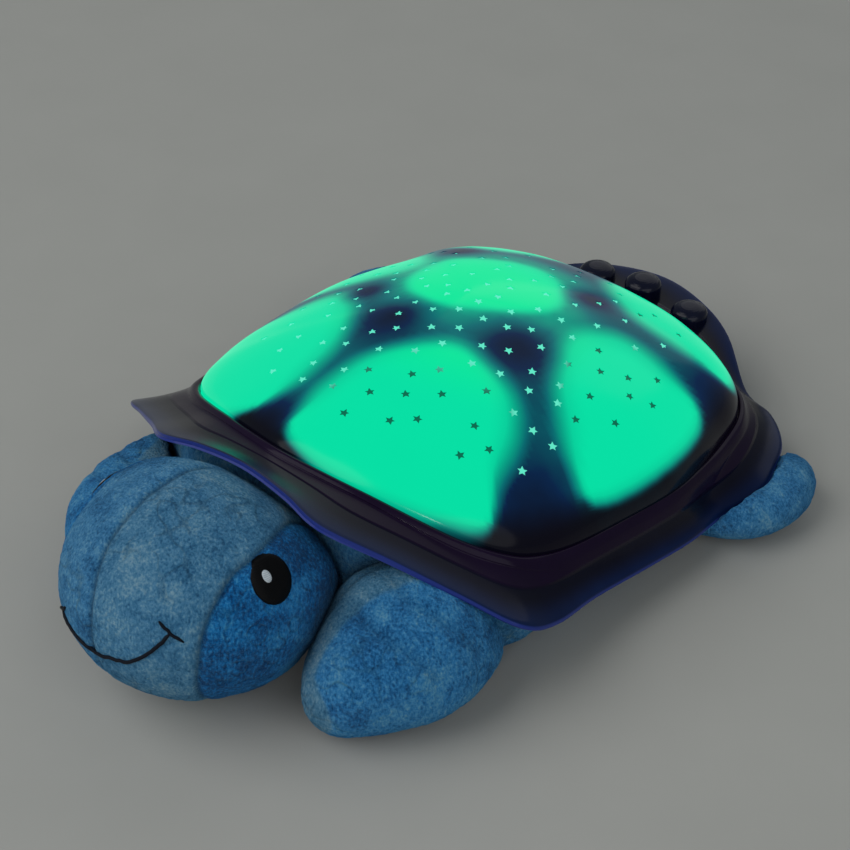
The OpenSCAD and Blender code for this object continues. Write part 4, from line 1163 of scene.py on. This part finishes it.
def steel_finish():
    """Plated steel, finely brushed."""
    f = Finish("plated_steel", metallic=1.0)
    brushed = f.grain(0.4, 3.0, 0.6, stretch=(1, 1, 0.2))
    f.base(brushed, "#9a9ea4", "#c9cdd2")
    f.set("Roughness", brushed * 0.2 + 0.22)
    f.relief(brushed, 0.01, 0.5)
    return f


WRAP_END = 21.2 * MM


def cell_finish(name, dark, light):
    """Wrapped cell with bare metal ends; the cells lie along X."""
    f = Finish(name)
    ends = abs(f.axis("X")).over(WRAP_END, WRAP_END + 0.3 * MM)
    wrap = f.mix(f.grain(6), dark, light)
    f.base(ends, wrap, "#c3c6ca")
    f.set("Metallic", ends)
    f.set("Roughness", 0.34 - ends * 0.08 + f.grain(2) * 0.06)
    f.relief(f.grain(5), 0.03, 0.4)
    return f


def board_finish():
    """Green solder mask with copper tracks beneath it."""
    f = Finish("green_board", coat_weight=0.6)
    tracks = f.cells(4, "DISTANCE_TO_EDGE")
    copper = 1 - tracks.over(0.06, 0.10)
    f.base(copper, f.mix(f.grain(9), "#0e4a2c", "#145a38"), "#2c7a50")
    f.set("Roughness", 0.36 + copper * 0.1)
    f.relief(copper, 0.03, 0.6)
    return f


RESISTOR_Y = 39 * MM


def resistor_finish():
    """Tan bodies with three colour rings; the leads are bare metal. The bodies lie along Y."""
    f = Finish("resistor_body", roughness=0.45)
    v = f.axis("Y") - RESISTOR_Y
    lead = abs(v).over(2.45 * MM, 2.55 * MM)
    colour = f.mix(f.grain(1), "#a9885c", "#b8966a")
    for place, ink in ((-1.4, "#6a2a16"), (-0.4, "#1b1b1d"), (0.6, "#b5482a")):
        ring_ = 1 - abs(v - place * MM).over(0.22 * MM, 0.30 * MM)
        colour = f.mix(ring_, colour, ink)
    f.base(lead, colour, "#b9bcc2")
    f.set("Metallic", lead)
    return f


def lens_finish(name, colour):
    """Lens of a lamp, lit towards its top."""
    f = Finish(name, roughness=0.12, coat_weight=1.0, ior=1.5)
    f.base(f.grain(2), colour, "#e8f2f4")
    f.set("Emission Color", f.mix(f.axis("Z").over(24 * MM, 34 * MM), "#000000", colour))
    f.set("Emission Strength", 0.8)
    return f


def ribbon_finish():
    """Flat cable: nine grey conductors side by side, with painted highlight on their ridges and
    painted shade between them.
    """
    f = Finish("ribbon_cable", roughness=0.5)
    ridge = (f.axis("X") * (2 * math.pi / (1 * MM))).wave() * 0.5 + 0.5
    # painted highlight and shade: lighter on the ridges, darker in the grooves
    f.base(ridge, "#6d7178", "#9a9ea6")
    f.relief(ridge, 0.2, 0.8)
    return f


def tape_finish(name, size):
    """Touch tape: a dense field of hooks or loops."""
    f = Finish(name, roughness=0.85, sheen_weight=0.3)
    knots = f.cells(size)
    f.base(knots, "#d2d5d2", "#f0f1ee")
    f.relief(knots, 0.3, 0.9)
    return f


def dress(finish, *nodes):
    """Gives CAD nodes that show as they are their finish."""
    for name in nodes:
        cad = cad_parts[name]
        cad.data.materials.clear()
        cad.data.materials.append(finish.material)


def dress_nodes():
    dress(moulded("charcoal_plastic", "#1f222b", "#2e323d"), "base_tray", "battery_door",
          "button_frame")
    dress(steel_finish(), "shell_screws", "door_screw", "battery_springs", "battery_contacts",
          "board_screws", "frame_screws", "button_board_screws")
    dress(cell_finish("green_cell_wrap", "#2f5f4b", "#3e7760"), "battery_1", "battery_3")
    dress(cell_finish("grey_cell_wrap", "#5b5f65", "#747980"), "battery_2")
    dress(board_finish(), "main_board", "button_board")
    dress(moulded("chip_epoxy", "#121316", "#1e1f23", 0.55), "timer_chip", "switch_bodies")
    dress(glossy_finish("capacitor_sleeve", "#171a22", "#2b303c"), "capacitor")
    dress(resistor_finish(), "resistors")
    dress(moulded("white_collar", "#d8d6cf", "#efede6", 0.4), "led_holder")
    dress(moulded("plunger_plastic", "#b9b9b4", "#d4d4cf", 0.4), "plunger_left",
          "plunger_centre", "plunger_right")
    for name, lit in (("blue", "#5c9dff"), ("green", "#4dffae"), ("amber", "#ffb24a")):
        dress(lens_finish(name + "_lens", lit), "led_" + name)
    dress(glossy_finish("button_gloss", "#080a1a", "#10142e"), "button_left", "button_centre",
          "button_right")
    dress(ribbon_finish(), "button_ribbon")
    dress(moulded("red_lead", "#9c1f24", "#b82c31", 0.4), "lead_red")
    dress(moulded("black_lead", "#131316", "#202024", 0.4), "lead_black")
    dress(tape_finish("hook_tape", 0.9), "hook_strip")
    dress(tape_finish("loop_tape", 0.5), "loop_strip")


# ------ stage, light and camera
FLOOR_HALF = 3.0
WORLD_COLOUR = "#c9d2d6"
WORLD_STRENGTH = 0.30


def make_stage():
    f = Finish("pale_floor", roughness=0.9, specular_ior_level=0.2)
    f.base(f.grain(60), "#a9a9a4", "#b0b0ab")
    h = FLOOR_HALF
    floor = piece("floor", [(-h, -h, 0), (h, -h, 0), (h, h, 0), (-h, h, 0)], [(0, 1, 2, 3)], f,
                  ridden=False)


def soft_light(name, place, aim, size, power):
    """Round area light of that size in metres and power in watts, turned towards aim."""
    data = bpy.data.lights.new(name, "AREA")
    data.shape = "DISK"
    data.size = size
    data.energy = power
    lamp = bpy.data.objects.new(name, data)
    SCENE.collection.objects.link(lamp)
    lamp.location = place
    lamp.rotation_euler = (Vector(aim) - Vector(place)).to_track_quat("-Z", "Y").to_euler()


def make_lights():
    soft_light("key_light", (-0.9, -1.5, 1.8), (0, -0.05, 0.05), 2.8, 33)
    soft_light("fill_light", (1.9, -0.9, 1.2), (0, -0.05, 0.04), 2.4, 12)
    soft_light("back_light", (-0.6, 1.9, 1.2), (0, 0, 0.05), 2.2, 5)
    soft_light("catch_light", (0.485, -0.863, 0.456), (0.055, -0.066, 0.06), 0.07, 0.6)
    world = bpy.data.worlds.new("studio")
    world.use_nodes = True
    background = world.node_tree.nodes["Background"]
    background.inputs["Color"].default_value = shade(WORLD_COLOUR)
    background.inputs["Strength"].default_value = WORLD_STRENGTH
    SCENE.world = world
    SCENE.view_settings.view_transform = "Standard"


# Fitted to the outlines of the brim, the dome and the head in the photograph
CAMERA_AZIMUTH = 41.64
CAMERA_ELEVATION = 36.19
CAMERA_DISTANCE = 794.7 * MM
CAMERA_AIM = Vector((-3.75, -2.97, 37.2)) * MM
FRAME_PIXELS = 850
FOCAL_PIXELS = 2000


def make_camera():
    data = bpy.data.cameras.new("camera")
    data.sensor_width = 36
    data.lens = data.sensor_width * FOCAL_PIXELS / FRAME_PIXELS
    data.clip_start = 0.01
    camera = bpy.data.objects.new("camera", data)
    SCENE.collection.objects.link(camera)
    a, e = math.radians(CAMERA_AZIMUTH), math.radians(CAMERA_ELEVATION)
    back = Vector((math.sin(a) * math.cos(e), -math.cos(a) * math.cos(e), math.sin(e)))
    camera.location = CAMERA_AIM + back * CAMERA_DISTANCE
    camera.rotation_euler = back.to_track_quat("Z", "Y").to_euler()
    SCENE.camera = camera


make_camera()
make_stage()
make_lights()
make_dome(glow_finish(), window_finish())
make_brim(brim_finish())
make_face(make_plush(plush_finish("blue_plush")))
make_flap(flap_finish())
dress_nodes()
